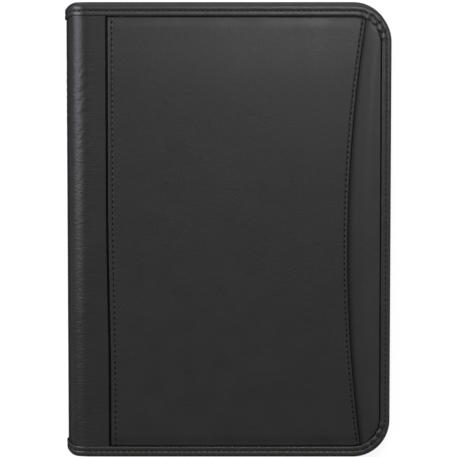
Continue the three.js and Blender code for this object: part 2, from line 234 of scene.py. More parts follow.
@dataclass(frozen=True)
class Leather(Finish):
    """PU-coated leather: pebbles pressed into the coat, and shallow creases between them."""

    pebble_mm: float = 0.9
    pebble_depth_mm: float = 0.045
    pebble_smoothness: float = 0.4
    crease_mm: float = 5.0
    crease_depth_mm: float = 0.06
    crease_detail: float = 3.0
    fold_mm: float = 1.6
    fold_depth_mm: float = 0.0
    fold_stretch: tuple[float, float, float] = (0.16, 1.0, 1.0)
    fold_lean: tuple[float, float, float] = (0.0, 0.0, 0.12)
    fold_detail: float = 1.0
    bend_mm: float = -91.0
    bend_reach_mm: float = 14.0
    fade: tuple[float, float] = (0.22, 0.58)
    grazing_specular: float = 0.008
    # Colour of the painted shade in gaps and beside turned edges, where the light doesn't reach
    painted_shade: str = "#040404"

    def relief(self, tree: Tree, place: Socket) -> Socket:
        """Press the pebbles over the creases.

        Args:
            tree: The material's node tree.
            place: The coordinates that the pattern is laid on.

        Returns:
            The socket with the normal.
        """
        creases = speckle(tree, place, self.crease_mm, self.crease_detail)
        slow = emboss(tree, self.crease_depth_mm, creases)
        pebbles = add_node(
            tree,
            "ShaderNodeTexVoronoi",
            {"feature": "SMOOTH_F1"},
            {
                "Vector": place,
                "Scale": 1 / (self.pebble_mm * MM),
                "Smoothness": self.pebble_smoothness,
            },
        ).outputs["Distance"]
        fine = emboss(tree, self.pebble_depth_mm, pebbles, {"Normal": slow}, invert=True)
        return self.folds(tree, place, fine) if self.fold_depth_mm else fine

    def folds(self, tree: Tree, place: Socket, normal: Socket) -> Socket:
        """Draw the fine folds that cross the leather where it bends over the spine.

        Args:
            tree: The material's node tree.
            place: The coordinates that the pattern is laid on.
            normal: The surface without the folds.

        Returns:
            The socket with the normal.
        """
        across = add_node(tree, "ShaderNodeSeparateXYZ", inputs={"Vector": place}).outputs["X"]
        reach = (self.bend_mm * MM, (self.bend_mm - self.bend_reach_mm) * MM)
        stretched = add_node(
            tree,
            "ShaderNodeMapping",
            inputs={"Vector": place, "Scale": self.fold_stretch, "Rotation": self.fold_lean},
        ).outputs["Vector"]
        more = {"Strength": remap(tree, across, reach), "Normal": normal}
        folds = speckle(tree, stretched, self.fold_mm, self.fold_detail)
        return emboss(tree, self.fold_depth_mm, folds, more)

    def shine(self, tree: Tree, shader: Node) -> None:
        """Let the shine fade at grazing angles, and under the painted shade in gaps and folds.

        Args:
            tree: The material's node tree.
            shader: Its Principled shader.
        """
        away = add_node(tree, "ShaderNodeLayerWeight", inputs={"Blend": 0.5}).outputs["Facing"]
        levels = (self.specular, self.grazing_specular)
        left = remap(tree, away, self.fade, levels, easing="SMOOTHSTEP")
        # No shine where the painted shade lies, as if the light didn't reach there
        outside_painted_shade = sum_up(tree, "SUBTRACT", 1.0, self.painted_shade_amount(tree))
        both = sum_up(tree, "MULTIPLY", left, outside_painted_shade)
        tree.links.new(both, shader.inputs["Specular IOR Level"])

    def painted_shade_amount(self, tree: Tree) -> Socket:
        """Return the socket that says how much painted shade lies on the surface, 0 where a piece has
        no say.
        """
        node = add_node(tree, "ShaderNodeAttribute", {"attribute_name": PAINTED_SHADE_LAYER})
        return node.outputs["Fac"]

    def colour(self, tree: Tree, place: Socket, patches: Socket) -> Socket:
        """Darken the colour towards the painted shade colour, where the painted shade lies."""
        open_colour = super().colour(tree, place, patches)
        return tint(tree, self.painted_shade_amount(tree), open_colour, linear(self.painted_shade))


@dataclass(frozen=True)
class Woven(Finish):
    """Woven cloth: two sets of threads that cross, laid along the piece."""

    thread_mm: float = 0.5
    thread_depth_mm: float = 0.12
    waver: float = 0.3
    laid: Pattern = Pattern.ON_SURFACE

    def relief(self, tree: Tree, place: Socket) -> Socket:
        """Raise each thread where it passes over the other set.

        Args:
            tree: The material's node tree.
            place: The coordinates that the pattern is laid on.

        Returns:
            The socket with the normal.
        """
        scale = 1 / (self.thread_mm * MM) / math.tau
        warp, weft = (
            add_node(
                tree,
                "ShaderNodeTexWave",
                {"wave_type": "BANDS", "bands_direction": direction},
                {"Vector": place, "Scale": scale, "Distortion": self.waver},
            ).outputs["Fac"]
            for direction in ("X", "Y")
        )
        return emboss(tree, self.thread_depth_mm, sum_up(tree, "MULTIPLY", warp, weft))


@dataclass(frozen=True)
class Fibrous(Finish):
    """Pressed fibre or open foam: a fine uneven surface with no direction."""

    fibre_mm: float = 0.6
    fibre_depth_mm: float = 0.06
    fibre_detail: float = 5.0
    clear: float = 0.0

    def shine(self, tree: Tree, shader: Node) -> None:
        """Let light through a clear finish."""
        shader.inputs["Transmission Weight"].default_value = self.clear

    def relief(self, tree: Tree, place: Socket) -> Socket:
        """Roughen the surface with fibres."""
        fibres = speckle(tree, place, self.fibre_mm, self.fibre_detail)
        return emboss(tree, self.fibre_depth_mm, fibres)


@dataclass(frozen=True)
class RuledPaper(Fibrous):
    """Writing paper with printed ruling across it."""

    line: str = "#9fb4c8"
    pitch_mm: float = 7.1
    line_mm: float = 0.35

    def colour(self, tree: Tree, place: Socket, patches: Socket) -> Socket:
        """Print the ruling over the paper's own colour.

        Args:
            tree: The material's node tree.
            place: The coordinates that the pattern is laid on.
            patches: The slow variation over the surface.

        Returns:
            The socket with the colour.
        """
        paper = super().colour(tree, place, patches)
        along = add_node(tree, "ShaderNodeSeparateXYZ", inputs={"Vector": place}).outputs["Y"]
        step = sum_up(tree, "WRAP", along, self.pitch_mm * MM, 0.0)
        printed = sum_up(tree, "LESS_THAN", step, self.line_mm * MM)
        return tint(tree, printed, paper, linear(self.line))


# PU-coated leather: an almost black coat with a soft, broad shine
COVER_LEATHER = Leather(
    "PU-coated leather, cover", "#0f0f0f", "#161616", 0.36, specular=0.25, roughness_spread=0.03
)
# The same coat behind the pocket, where no hand wears it: a little more shine
BASE_LEATHER = replace(COVER_LEATHER, name="PU-coated leather, behind the pocket", specular=0.3)
# The same coat where it is bent open and shut: fine folds cross the spine
SPINE_LEATHER = replace(
    COVER_LEATHER, name="PU-coated leather, spine", specular=0.23, fold_depth_mm=0.12
)
# The same coat on a thinner strip, drawn tight, so it shines a little more
BINDING_LEATHER = Leather(
    "PU-coated leather, binding", "#0f0f10", "#141415", 0.32, specular=0.32, roughness_spread=0.02
)
# The coat on the pockets inside, matt and unworn
POCKET_LEATHER = Leather("PU-coated leather, pockets", "#131314", "#1a1a1c", 0.46, specular=0.25)
# Bonded polyester thread: a dull black with a faint sheen
THREAD = Fibrous(
    "bonded polyester thread", "#050506", "#0a0a0c", 0.6, specular=0.06, fibre_mm=0.3
)
# Woven polyester lining: dull, with a fine plain weave
LINING_CLOTH = Woven("woven polyester lining", "#141416", "#1b1b1e", 0.8, sheen=0.3)
# Woven zip tape: a coarser, ribbed weave
TAPE_CLOTH = Woven("woven zip tape", "#121214", "#19191c", 0.85, sheen=0.2, thread_mm=0.7)
# Knitted elastic: ribs along the loop
ELASTIC_CLOTH = Woven("knitted elastic", "#121214", "#1a1a1c", 0.85, sheen=0.3, thread_mm=1.0)
# Greyboard: pressed waste paper, brown-grey and dusty
GREYBOARD = Fibrous("greyboard", "#85775f", "#978972", 0.95)
# Polyurethane foam sheet: grey, with open cells
FOAM_SHEET = Fibrous("polyurethane foam", "#3a3a3c", "#4a4a4d", 0.98, fibre_mm=0.9)
# Moulded nylon: the zip's teeth, smooth and slightly shiny
NYLON = Fibrous("moulded nylon", "#161618", "#1d1d20", 0.35, roughness_spread=0.03)
# Plated zinc: gunmetal, polished, with faint handling marks
PLATED_ZINC = Fibrous(
    "gunmetal-plated zinc", "#6f7176", "#85878c", 0.28, metallic=1.0, fibre_depth_mm=0.004
)
# Pad's backing card: recycled pulp, rough and brown
BACKING_CARD = Fibrous("pulp backing card", "#9a8769", "#b09b7b", 0.95)
# Bond paper with a pale blue ruling
BOND_PAPER = RuledPaper("ruled bond paper", "#ece9dd", "#f3f1e7", 0.9, fibre_depth_mm=0.01)
# The cut edges of the same paper, stacked
PAGE_EDGES = Fibrous("cut bond paper", "#e6e3d6", "#efede2", 0.92, fibre_depth_mm=0.02)
# Crepe paper tape over the head of the pad
HEAD_TAPE = Fibrous("crepe paper tape", "#1b1c1f", "#26272b", 0.75)
# Clear vinyl film: smooth, with a bright gloss
VINYL_FILM = Fibrous(
    "clear vinyl film", "#f2f4f5", "#f8fafa", 0.06, roughness_spread=0.02,
    fibre_mm=9.0, fibre_depth_mm=0.02, clear=1.0,
)


# Shapes that every sub-assembly is measured from, in millimetres


def smooth(value: float, low: float, high: float) -> float:
    """Rise smoothly from 0 where the value is low to 1 where it is high, above or below low."""
    part = min(max((value - low) / (high - low), 0.0), 1.0)
    return part * part * (3 - 2 * part)


def hump(value: float, middle: float, width: float) -> float:
    """Return a rounded hump of height 1 about its middle."""
    return math.exp(-(((value - middle) / width) ** 2))


def uneven(*place: float) -> float:
    """Return a slow noise between about -1 and 1 at a place of its own space."""
    return noise.noise(Vector(place))


@dataclass(frozen=True)
class Wave:
    """The slow, uneven waviness of a surface."""

    height: float
    size: float
    seed: float

    def at(self, x: float, y: float) -> float:
        """Return its height at a point."""
        return self.height * uneven(x / self.size, y / self.size, self.seed)


def steps(*stops: tuple[float, float]) -> list[float]:
    """List values from stop to stop, evenly spaced between two of them.

    Args:
        stops: Pairs of a value and the spacing up to the next one.

    Returns:
        The values in order.
    """
    values = [stops[0][0]]
    for (start, spacing), (end, _) in zip(stops, stops[1:]):
        count = max(1, round((end - start) / spacing))
        values += [start + (end - start) * i / count for i in range(1, count + 1)]
    return values


# Spacing of a net's rows at the head and the foot, as a share of its half height
FINE_ROW = 0.0018


def net_rows(near: float, spacing: float) -> list[float]:
    """List a cover's rows as shares of its half height, fine past near at both ends."""
    return steps((-1.0, FINE_ROW), (-near, spacing), (near, FINE_ROW), (1.0, 1.0))


@dataclass(frozen=True)
class Outline:
    """The shut case seen from above, in millimetres from its middle."""

    half_width: float = 120.5
    half_height: float = 168.5
    fore_radius: float = 27.5
    spine_radius: float = 8.0

    def radius(self, x: float) -> float:
        """Return the radius of the corners on the side of the case where x is."""
        return self.fore_radius if x > 0 else self.spine_radius

    def depth(self, x: float, y: float) -> float:
        """Tell how far a point lies inside the outline.

        Args:
            x: Across the cover.
            y: Along the spine.

        Returns:
            The distance to the outline, less than 0 outside it.
        """
        radius = self.radius(x)
        over_x = abs(x) - self.half_width + radius
        over_y = abs(y) - self.half_height + radius
        return radius - math.hypot(max(over_x, 0), max(over_y, 0)) - min(max(over_x, over_y), 0)

    def reach(self, x: float, inset: float) -> float:
        """Return how far the outline reaches from the middle line at x, drawn in by an inset.

        Args:
            x: Where along the width.
            inset: How far the outline is drawn in.

        Returns:
            The half height there.
        """
        radius = max(self.radius(x) - inset, 0.0)
        over = min(max(abs(x) - self.half_width + inset + radius, 0.0), radius)
        return self.half_height - inset - radius + math.sqrt(radius * radius - over * over)


@dataclass(frozen=True)
class Fold:
    """The section of the leather: flat covers joined by a rounded spine.

    A run of 0 is the middle line of the spine. It grows over the front cover and
    falls over the back cover. A depth is measured inwards from the leather's face.
    """

    tangent_x: float = -102.5
    reach: float = 17.0
    half_thickness: float = 13.8
    middle_z: float = 15.0
    flattens: tuple[float, float] = (16.0, 2.0)

    @property
    def quarter(self) -> float:
        """The length of leather from the spine's middle line to a cover."""
        return math.pi / 2 * math.hypot(self.reach, self.half_thickness) / math.sqrt(2)

    def on_cover(self, run: float) -> float:
        """Return 0 on the spine, rising to 1 where a cover is flat."""
        start, end = (self.quarter - before for before in self.flattens)
        return smooth(abs(run), start, end)

    def run_at(self, x: float) -> float:
        """Return the run on the front cover at x."""
        return self.quarter + x - self.tangent_x

    def x_at(self, run: float) -> float:
        """Return x on the leather's face at a run."""
        return self.point(run, 0.0)[0]

    def point(self, run: float, depth: float) -> tuple[float, float]:
        """Find a place of the section.

        Args:
            run: How far along the leather.
            depth: How far below its face.

        Returns:
            x and z.
        """
        side = 1.0 if run >= 0 else -1.0
        past = abs(run) - self.quarter
        if past >= 0:
            return self.tangent_x + past, self.middle_z + side * (self.half_thickness - depth)
        angle = math.pi / 2 * abs(run) / self.quarter
        out = Vector((-math.cos(angle) / self.reach, math.sin(angle) / self.half_thickness))
        out.normalize()
        x = self.tangent_x - self.reach * math.cos(angle) - out.x * depth
        return x, self.middle_z + side * (self.half_thickness * math.sin(angle) - out.y * depth)

    def place(self, run: float, y: float, depth: float) -> Vector:
        """Return the place of a run, a height along the spine and a depth."""
        x, z = self.point(run, depth)
        return Vector((x, y, z))


OUTLINE = Outline()
FOLD = Fold()


class Side(Enum):
    """Which cover a piece belongs to, as the sign of its run."""

    BACK = -1
    FRONT = 1

    @property
    def body(self) -> str:
        """The body of the cover."""
        return "back_cover" if self is Side.BACK else "front_cover"

    def join(self, piece: Piece) -> None:
        """Bake a piece's placement into its mesh; both covers do the same, and nothing bends.

        Args:
            piece: The piece.
        """
        if self is Side.BACK:
            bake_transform(piece)
        else:
            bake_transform(piece)


def finish_piece(shape: Shape, name: str, finish: Finish, flat: bool = False) -> Piece:
    """Turn a shape in millimetres into a piece of the object.

    Args:
        shape: The shape, which is freed.
        name: The piece's name.
        finish: What it is made of.
        flat: Whether its faces stay flat.

    Returns:
        The piece, which doesn't ride on a body yet.
    """
    bmesh.ops.scale(shape, vec=(MM, MM, MM), verts=shape.verts)
    for face in shape.faces:
        face.smooth = not flat
    mesh = bpy.data.meshes.new(name)
    shape.to_mesh(mesh)
    shape.free()
    piece = bpy.data.objects.new(name, mesh)
    bpy.context.scene.collection.objects.link(piece)
    mesh.materials.append(finish.material())
    LOG.info("%s: %d faces", name, len(mesh.polygons))
    return piece


def mark_painted_shade(piece: Piece, painted_shade_amount: Callable[[float, float], float]) -> None:
    """Write down how much painted shade lies on each point of a leather piece, for its finish.

    Args:
        piece: The piece.
        painted_shade_amount: Gives the painted shade, from 0 to 1, of a place in millimetres.
    """
    layer = piece.data.attributes.new(PAINTED_SHADE_LAYER, "FLOAT", "POINT")
    for vert, value in zip(piece.data.vertices, layer.data):
        value.value = painted_shade_amount(vert.co.x / MM, vert.co.y / MM)


def thicken(piece: Piece, thickness: float) -> None:
    """Give a sheet its thickness below its face.

    Args:
        piece: The sheet.
        thickness: The thickness, in millimetres.
    """
    wall = piece.modifiers.new("wall", "SOLIDIFY")
    wall.thickness = thickness * MM
    wall.offset = -1.0
    wall.use_even_offset = False


def bevel(
    shape: Shape, geom: Iterable[object], offset: float, segments: int, affect: str = "EDGES"
) -> None:
    """Round edges or corners.

    Args:
        shape: The shape.
        geom: The edges or the corners.
        offset: How far from them the rounding starts.
        segments: How many faces it has.
        affect: Whether edges or corners are rounded.
    """
    bmesh.ops.bevel(
        shape,
        geom=list(geom),
        offset=offset,
        affect=affect,
        segments=segments,
        profile=0.5,
        material=-1,
    )


def block(shape: Shape, size: Sequence[float], place: Sequence[float]) -> None:
    """Add a block.

    Args:
        shape: What it is added to.
        size: Its three sizes.
        place: Its middle.
    """
    made = bmesh.ops.create_cube(shape, size=1.0)["verts"]
    bmesh.ops.scale(shape, vec=size, verts=made)
    bmesh.ops.translate(shape, vec=place, verts=made)


# A length in millimetres too short to matter
TINY = 1e-5


def net(
    across: Sequence[float], along: Sequence[float], place: Callable[[float, float], Vector]
) -> Shape:
    """Lay a net of faces over a surface.

    Args:
        across: The values of the first measure, one for each line of the net.
        along: The values of the second measure.
        place: Gives the place of a pair of measures, in millimetres.

    Returns:
        The net, with its measures kept in metres as its UV map.
    """
    shape = bmesh.new()
    columns, rows = len(across) - 1, len(along) - 1
    bmesh.ops.create_grid(shape, x_segments=columns, y_segments=rows, size=1.0)
    measures = {}
    for vert in shape.verts:
        a = across[round((vert.co.x + 1) / 2 * columns)]
        b = along[round((vert.co.y + 1) / 2 * rows)]
        measures[vert] = (a * MM, b * MM)
        vert.co = place(a, b)
    layer = shape.loops.layers.uv.verify()
    for face in shape.faces:
        for loop in face.loops:
            loop[layer].uv = measures[loop.vert]
    return shape


def channel(
    ring: Sequence[tuple[float, float]],
    count: int,
    place: Callable[[int, tuple[float, float]], Vector],
    spacing: float,
    closed: bool = False,
) -> Shape:
    """Sweep a closed ring of points along a path.

    Args:
        ring: The section's points, each of two measures.
        count: How many stations the path has.
        place: Gives the place of a point of the ring at a station.
        spacing: How far apart the stations are, for the UV map.
        closed: Whether the path comes back to its start.

    Returns:
        The swept shape, closed at its ends.
    """
    size = len(ring)

    def at(step: float, turn: float) -> Vector:
        """Find a point of the sweep."""
        return place(round(step / spacing) % count, ring[round(turn) % size])

    last = count + 1 if closed else count
    shape = net([i * spacing for i in range(last)], [float(i) for i in range(size + 1)], at)
    bmesh.ops.remove_doubles(shape, verts=shape.verts, dist=TINY)
    if not closed:
        ends = [edge for edge in shape.edges if edge.is_boundary]
        bmesh.ops.holes_fill(shape, edges=ends, sides=size + 1)
    bmesh.ops.recalc_face_normals(shape, faces=shape.faces)
    return shape


def repeat(shape: Shape, unit: Shape, matrices: Iterable[Matrix]) -> None:
    """Add copies of one small shape.

    Args:
        shape: What the copies are added to.
        unit: The shape that is copied, which is freed.
        matrices: Where each copy goes.
    """
    mesh = bpy.data.meshes.new("unit")
    unit.to_mesh(mesh)
    unit.free()
    for matrix in matrices:
        copy = mesh.copy()
        copy.transform(matrix)
        shape.from_mesh(copy)
        bpy.data.meshes.remove(copy)
    bpy.data.meshes.remove(mesh)


def stitch_place(start: Vector, end: Vector, up: Vector, radius: float) -> Matrix:
    """Turn and stretch a ball of radius 1 into a stitch between two holes.

    Args:
        start: Its first hole.
        end: Its second hole.
        up: Out of the surface.
        radius: The thread's radius.

    Returns:
        The matrix that does it.
    """
    along = end - start
    side = up.cross(along).normalized()
    above = along.cross(side).normalized()
    turn = Matrix((along.normalized(), side, above)).transposed().to_4x4()
    size = Matrix.Diagonal((along.length / 2, radius, radius, 1.0))
    return Matrix.Translation((start + end) / 2) @ turn @ size


# From one stitch to the next, and from the end of one to the next one's start
STITCH_PITCH = 4.15
STITCH_GAP = 1.4
# Sides and rings of the ball that a stitch is stretched from
BALL_SIDES = 6
# Length of the edge round a fore corner, for the count of stitches
CORNER_LENGTH = 43.0


def sew(
    shape: Shape,
    points: Sequence[Vector],
    ups: Sequence[Vector],
    radius: float,
    gap: float = STITCH_GAP,
) -> None:
    """Lay a row of stitches along a line of points.

    Args:
        shape: What the stitches are added to.
        points: The line, as points close together.
        ups: Out of the surface at each point.
        radius: The thread's radius.
        gap: From the end of one stitch to the next one's start.
    """
    runs = [0.0]
    for before, after in zip(points, points[1:]):
        runs.append(runs[-1] + (after - before).length)
    index = 0

    def at(run: float) -> tuple[Vector, Vector]:
        """Find a place of the line.

        Args:
            run: How far along it.

        Returns:
            The place and the way up there.
        """
        nonlocal index
        while index > 0 and runs[index] > run:
            index -= 1
        while index < len(runs) - 2 and runs[index + 1] < run:
            index += 1
        part = (run - runs[index]) / max(runs[index + 1] - runs[index], TINY)
        return points[index].lerp(points[index + 1], part), ups[index]

    matrices = []
    for number in range(int((runs[-1] - gap) / STITCH_PITCH)):
        run = number * STITCH_PITCH + gap / 2
        start, up = at(run)
        end, _ = at(run + STITCH_PITCH - gap)
        matrices.append(stitch_place(start, end, up, radius))
    ball = bmesh.new()
    bmesh.ops.create_uvsphere(ball, u_segments=BALL_SIDES, v_segments=BALL_SIDES, radius=1.0)
    repeat(shape, ball, matrices)


# Covers and spine

# Where the two halves of the leather meet, under the spine's middle line
LOW_RUN = -6.0
# The width of the binding's outer leg along the fore edge
STRIP_WIDTH = 6.95
# How much wider that leg is at the foot and at the head, as a share of it, and how far from
# the middle it widens
FOOT_EXTRA, HEAD_EXTRA = 0.07, 0.16
WIDENS = (146.0, 164.0)
# How a padded panel rises beside the binding: a share, and the distances it rises between
RISES = ((0.72, 7.1, 8.3), (0.28, 8.0, 16.0))
# The panel follows the wider leg a little sooner than the leg itself widens
RISE_LEAD = 1.04
# The pocket's seam: its x above the middle, how far it bends forward and between which heights
SEAM_X = -88.85
SEAM_BEND = 1.6
SEAM_BENDS = (-20.0, 115.0)


def extra_width(y: float) -> float:
    """Return how much wider the outer leg is along the head and the foot, as a share."""
    return FOOT_EXTRA * smooth(-y, *WIDENS) + HEAD_EXTRA * smooth(y, *WIDENS)


def filled_by(inside: float, y: float) -> float:
    """Return how full a padded panel is: 0 in the gap beside the binding, 1 well inside."""
    inside -= extra_width(y * RISE_LEAD) * STRIP_WIDTH
    return sum(share * smooth(inside, low, high) for share, low, high in RISES)


def seam_x(y: float) -> float:
    """Return x of the pocket panel's seam at a height; it bends forward below the middle."""
    return SEAM_X + SEAM_BEND * smooth(-y, *SEAM_BENDS)


def orient(shape: Shape, outwards: Side) -> None:
    """Turn a sheet's faces so that they look to one side.

    Args:
        shape: The sheet.
        outwards: The side.
    """
    shape.normal_update()
    tallest = max(shape.faces, key=lambda face: abs(face.normal.z) * face.calc_area())
    if tallest.normal.z * outwards.value < 0:
        bmesh.ops.reverse_faces(shape, faces=shape.faces)


@dataclass
class Skin:
    """A folded layer of one cover and its half of the spine."""

    side: Side
    thickness: float = 0.9
    inset: float = 1.0
    spine_depth: float = 0.0
    cover_depth: float = 0.0
    panel_rise: float = 1.2
    panel_start: float = 6.0
    seam_dip: float = 0.0
    dips: tuple[float, float] = (1.55, 1.05)
    # Painted shade in the gap beside the pocket's seam, where the panel's edge shades it: how far back
    # from the seam it starts and is full, and its strength
    shaded: tuple[float, float] = (1.5, 1.1)
    shade: float = 0.8
    end_x: float = 119.5
    fore_x: float = 93.0
    wrinkle: float = 0.17
    wrinkle_size: tuple[float, float] = (15.0, 3.0)
    wrinkle_seed: float = 9.0
    worn_at: tuple[float, float] = (95.0, 42.0)
    least_worn: float = 0.2
    rounded_to: tuple[float, float] = (-2.0, 8.0)
    wave: float = 0.06
    wave_size: float = 34.0
    wave_seed: float = 3.0
    fine_line: float = 1.0
    wide_line: float = 3.0
    fore_line: float = 0.9
    seam_lines: tuple[tuple[float, float], ...] = ((9.4, 0.2), (4.6, 1.5))
    rows: tuple[float, float] = (0.94, 0.0065)

    def runs(self) -> list[float]:
        """List the runs of the net's lines, fine round the spine, at the seam and the fore edge."""
        end, turned = FOLD.run_at(self.end_x), FOLD.quarter + self.wide_line
        fore, fine, wide = FOLD.run_at(self.fore_x), self.fine_line, self.wide_line
        if self.seam_dip:
            seam = [(end - back, spacing) for back, spacing in self.seam_lines]
            return steps((LOW_RUN, fine), *seam, (end, fine))
        if self.side is Side.FRONT:
            return steps((LOW_RUN, fine), (turned, wide), (fore, self.fore_line), (end, fine))
        return steps((-end, self.fore_line), (-fore, wide), (-turned, fine), (LOW_RUN, fine))

    def depth(self, run: float, y: float) -> float:
        """Give the layer's depth below the folded section.

        Args:
            run: How far along the leather.
            y: The height along the spine.

        Returns:
            The depth, less than 0 where the leather stands proud.
        """
        x = FOLD.x_at(run)
        depth = self.spine_depth + (self.cover_depth - self.spine_depth) * FOLD.on_cover(run)
        filled = filled_by(OUTLINE.depth(x, y), y)
        start = FOLD.tangent_x
        depth -= self.panel_rise * (filled * smooth(x, start, start + self.panel_start))
        high, low = (seam_x(y) - back for back in self.dips)
        depth += self.seam_dip * smooth(x, high, low)
        seed = self.wave_seed * self.side.value
        depth -= self.wave * uneven(run / self.wave_size, y / self.wave_size, seed) * filled
        near, far = self.rounded_to
        rounded = 1 - smooth(abs(run), FOLD.quarter + near, FOLD.quarter + far)
        long, short = self.wrinkle_size
        fine = uneven((run + y) / long, (y - run) / short, self.wrinkle_seed)
        worn = self.least_worn + (1 - self.least_worn) * hump(y, *self.worn_at)
        between_ends = filled_by(OUTLINE.half_height - abs(y), y)
        return depth - self.wrinkle * fine * rounded * worn * between_ends

    def painted_shade_amount(self, x: float, y: float) -> float:
        """Return how much painted shade lies on the wrap at a point: only in the gap beside the
        pocket's seam.
        """
        open_to, shut_from = (seam_x(y) - back for back in self.shaded)
        return self.shade * smooth(x, open_to, shut_from)

    def build(self, name: str, finish: Finish, slot: str, *nodes: str) -> Piece:
        """Build the layer in its shut, folded shape and bake its placement.

        Args:
            name: The piece's name.
            finish: What it is made of.
            slot: Not used.
            nodes: The CAD nodes that it replaces.

        Returns:
            The piece.
        """

        def at(run: float, part: float) -> Vector:
            """Find a point of the net; part runs from the foot to the head."""
            y = part * OUTLINE.reach(FOLD.x_at(run), self.inset)
            return FOLD.place(run, y, self.depth(run, y))

        shape = net(self.runs(), net_rows(*self.rows), at)
        layer = shape.loops.layers.uv.verify()
        for face in shape.faces:
            for loop in face.loops:
                run, _ = loop[layer].uv
                loop[layer].uv = (run, loop.vert.co.y * MM)
        orient(shape, outwards=self.side)
        piece = finish_piece(shape, name, finish)
        # Paint shade into the gap beside the pocket's seam
        if self.seam_dip:
            mark_painted_shade(piece, self.painted_shade_amount)
        thicken(piece, self.thickness)
        self.side.join(piece)
        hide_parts(*nodes)
        if isinstance(finish, Woven):
            width = FOLD.run_at(self.end_x) - LOW_RUN
        return piece


@dataclass(frozen=True)
class Station:
    """A point of the edge, in the unrolled plan of one cover."""

    run: float
    y: float
    in_run: float
    in_y: float
    corner: float = 0.0


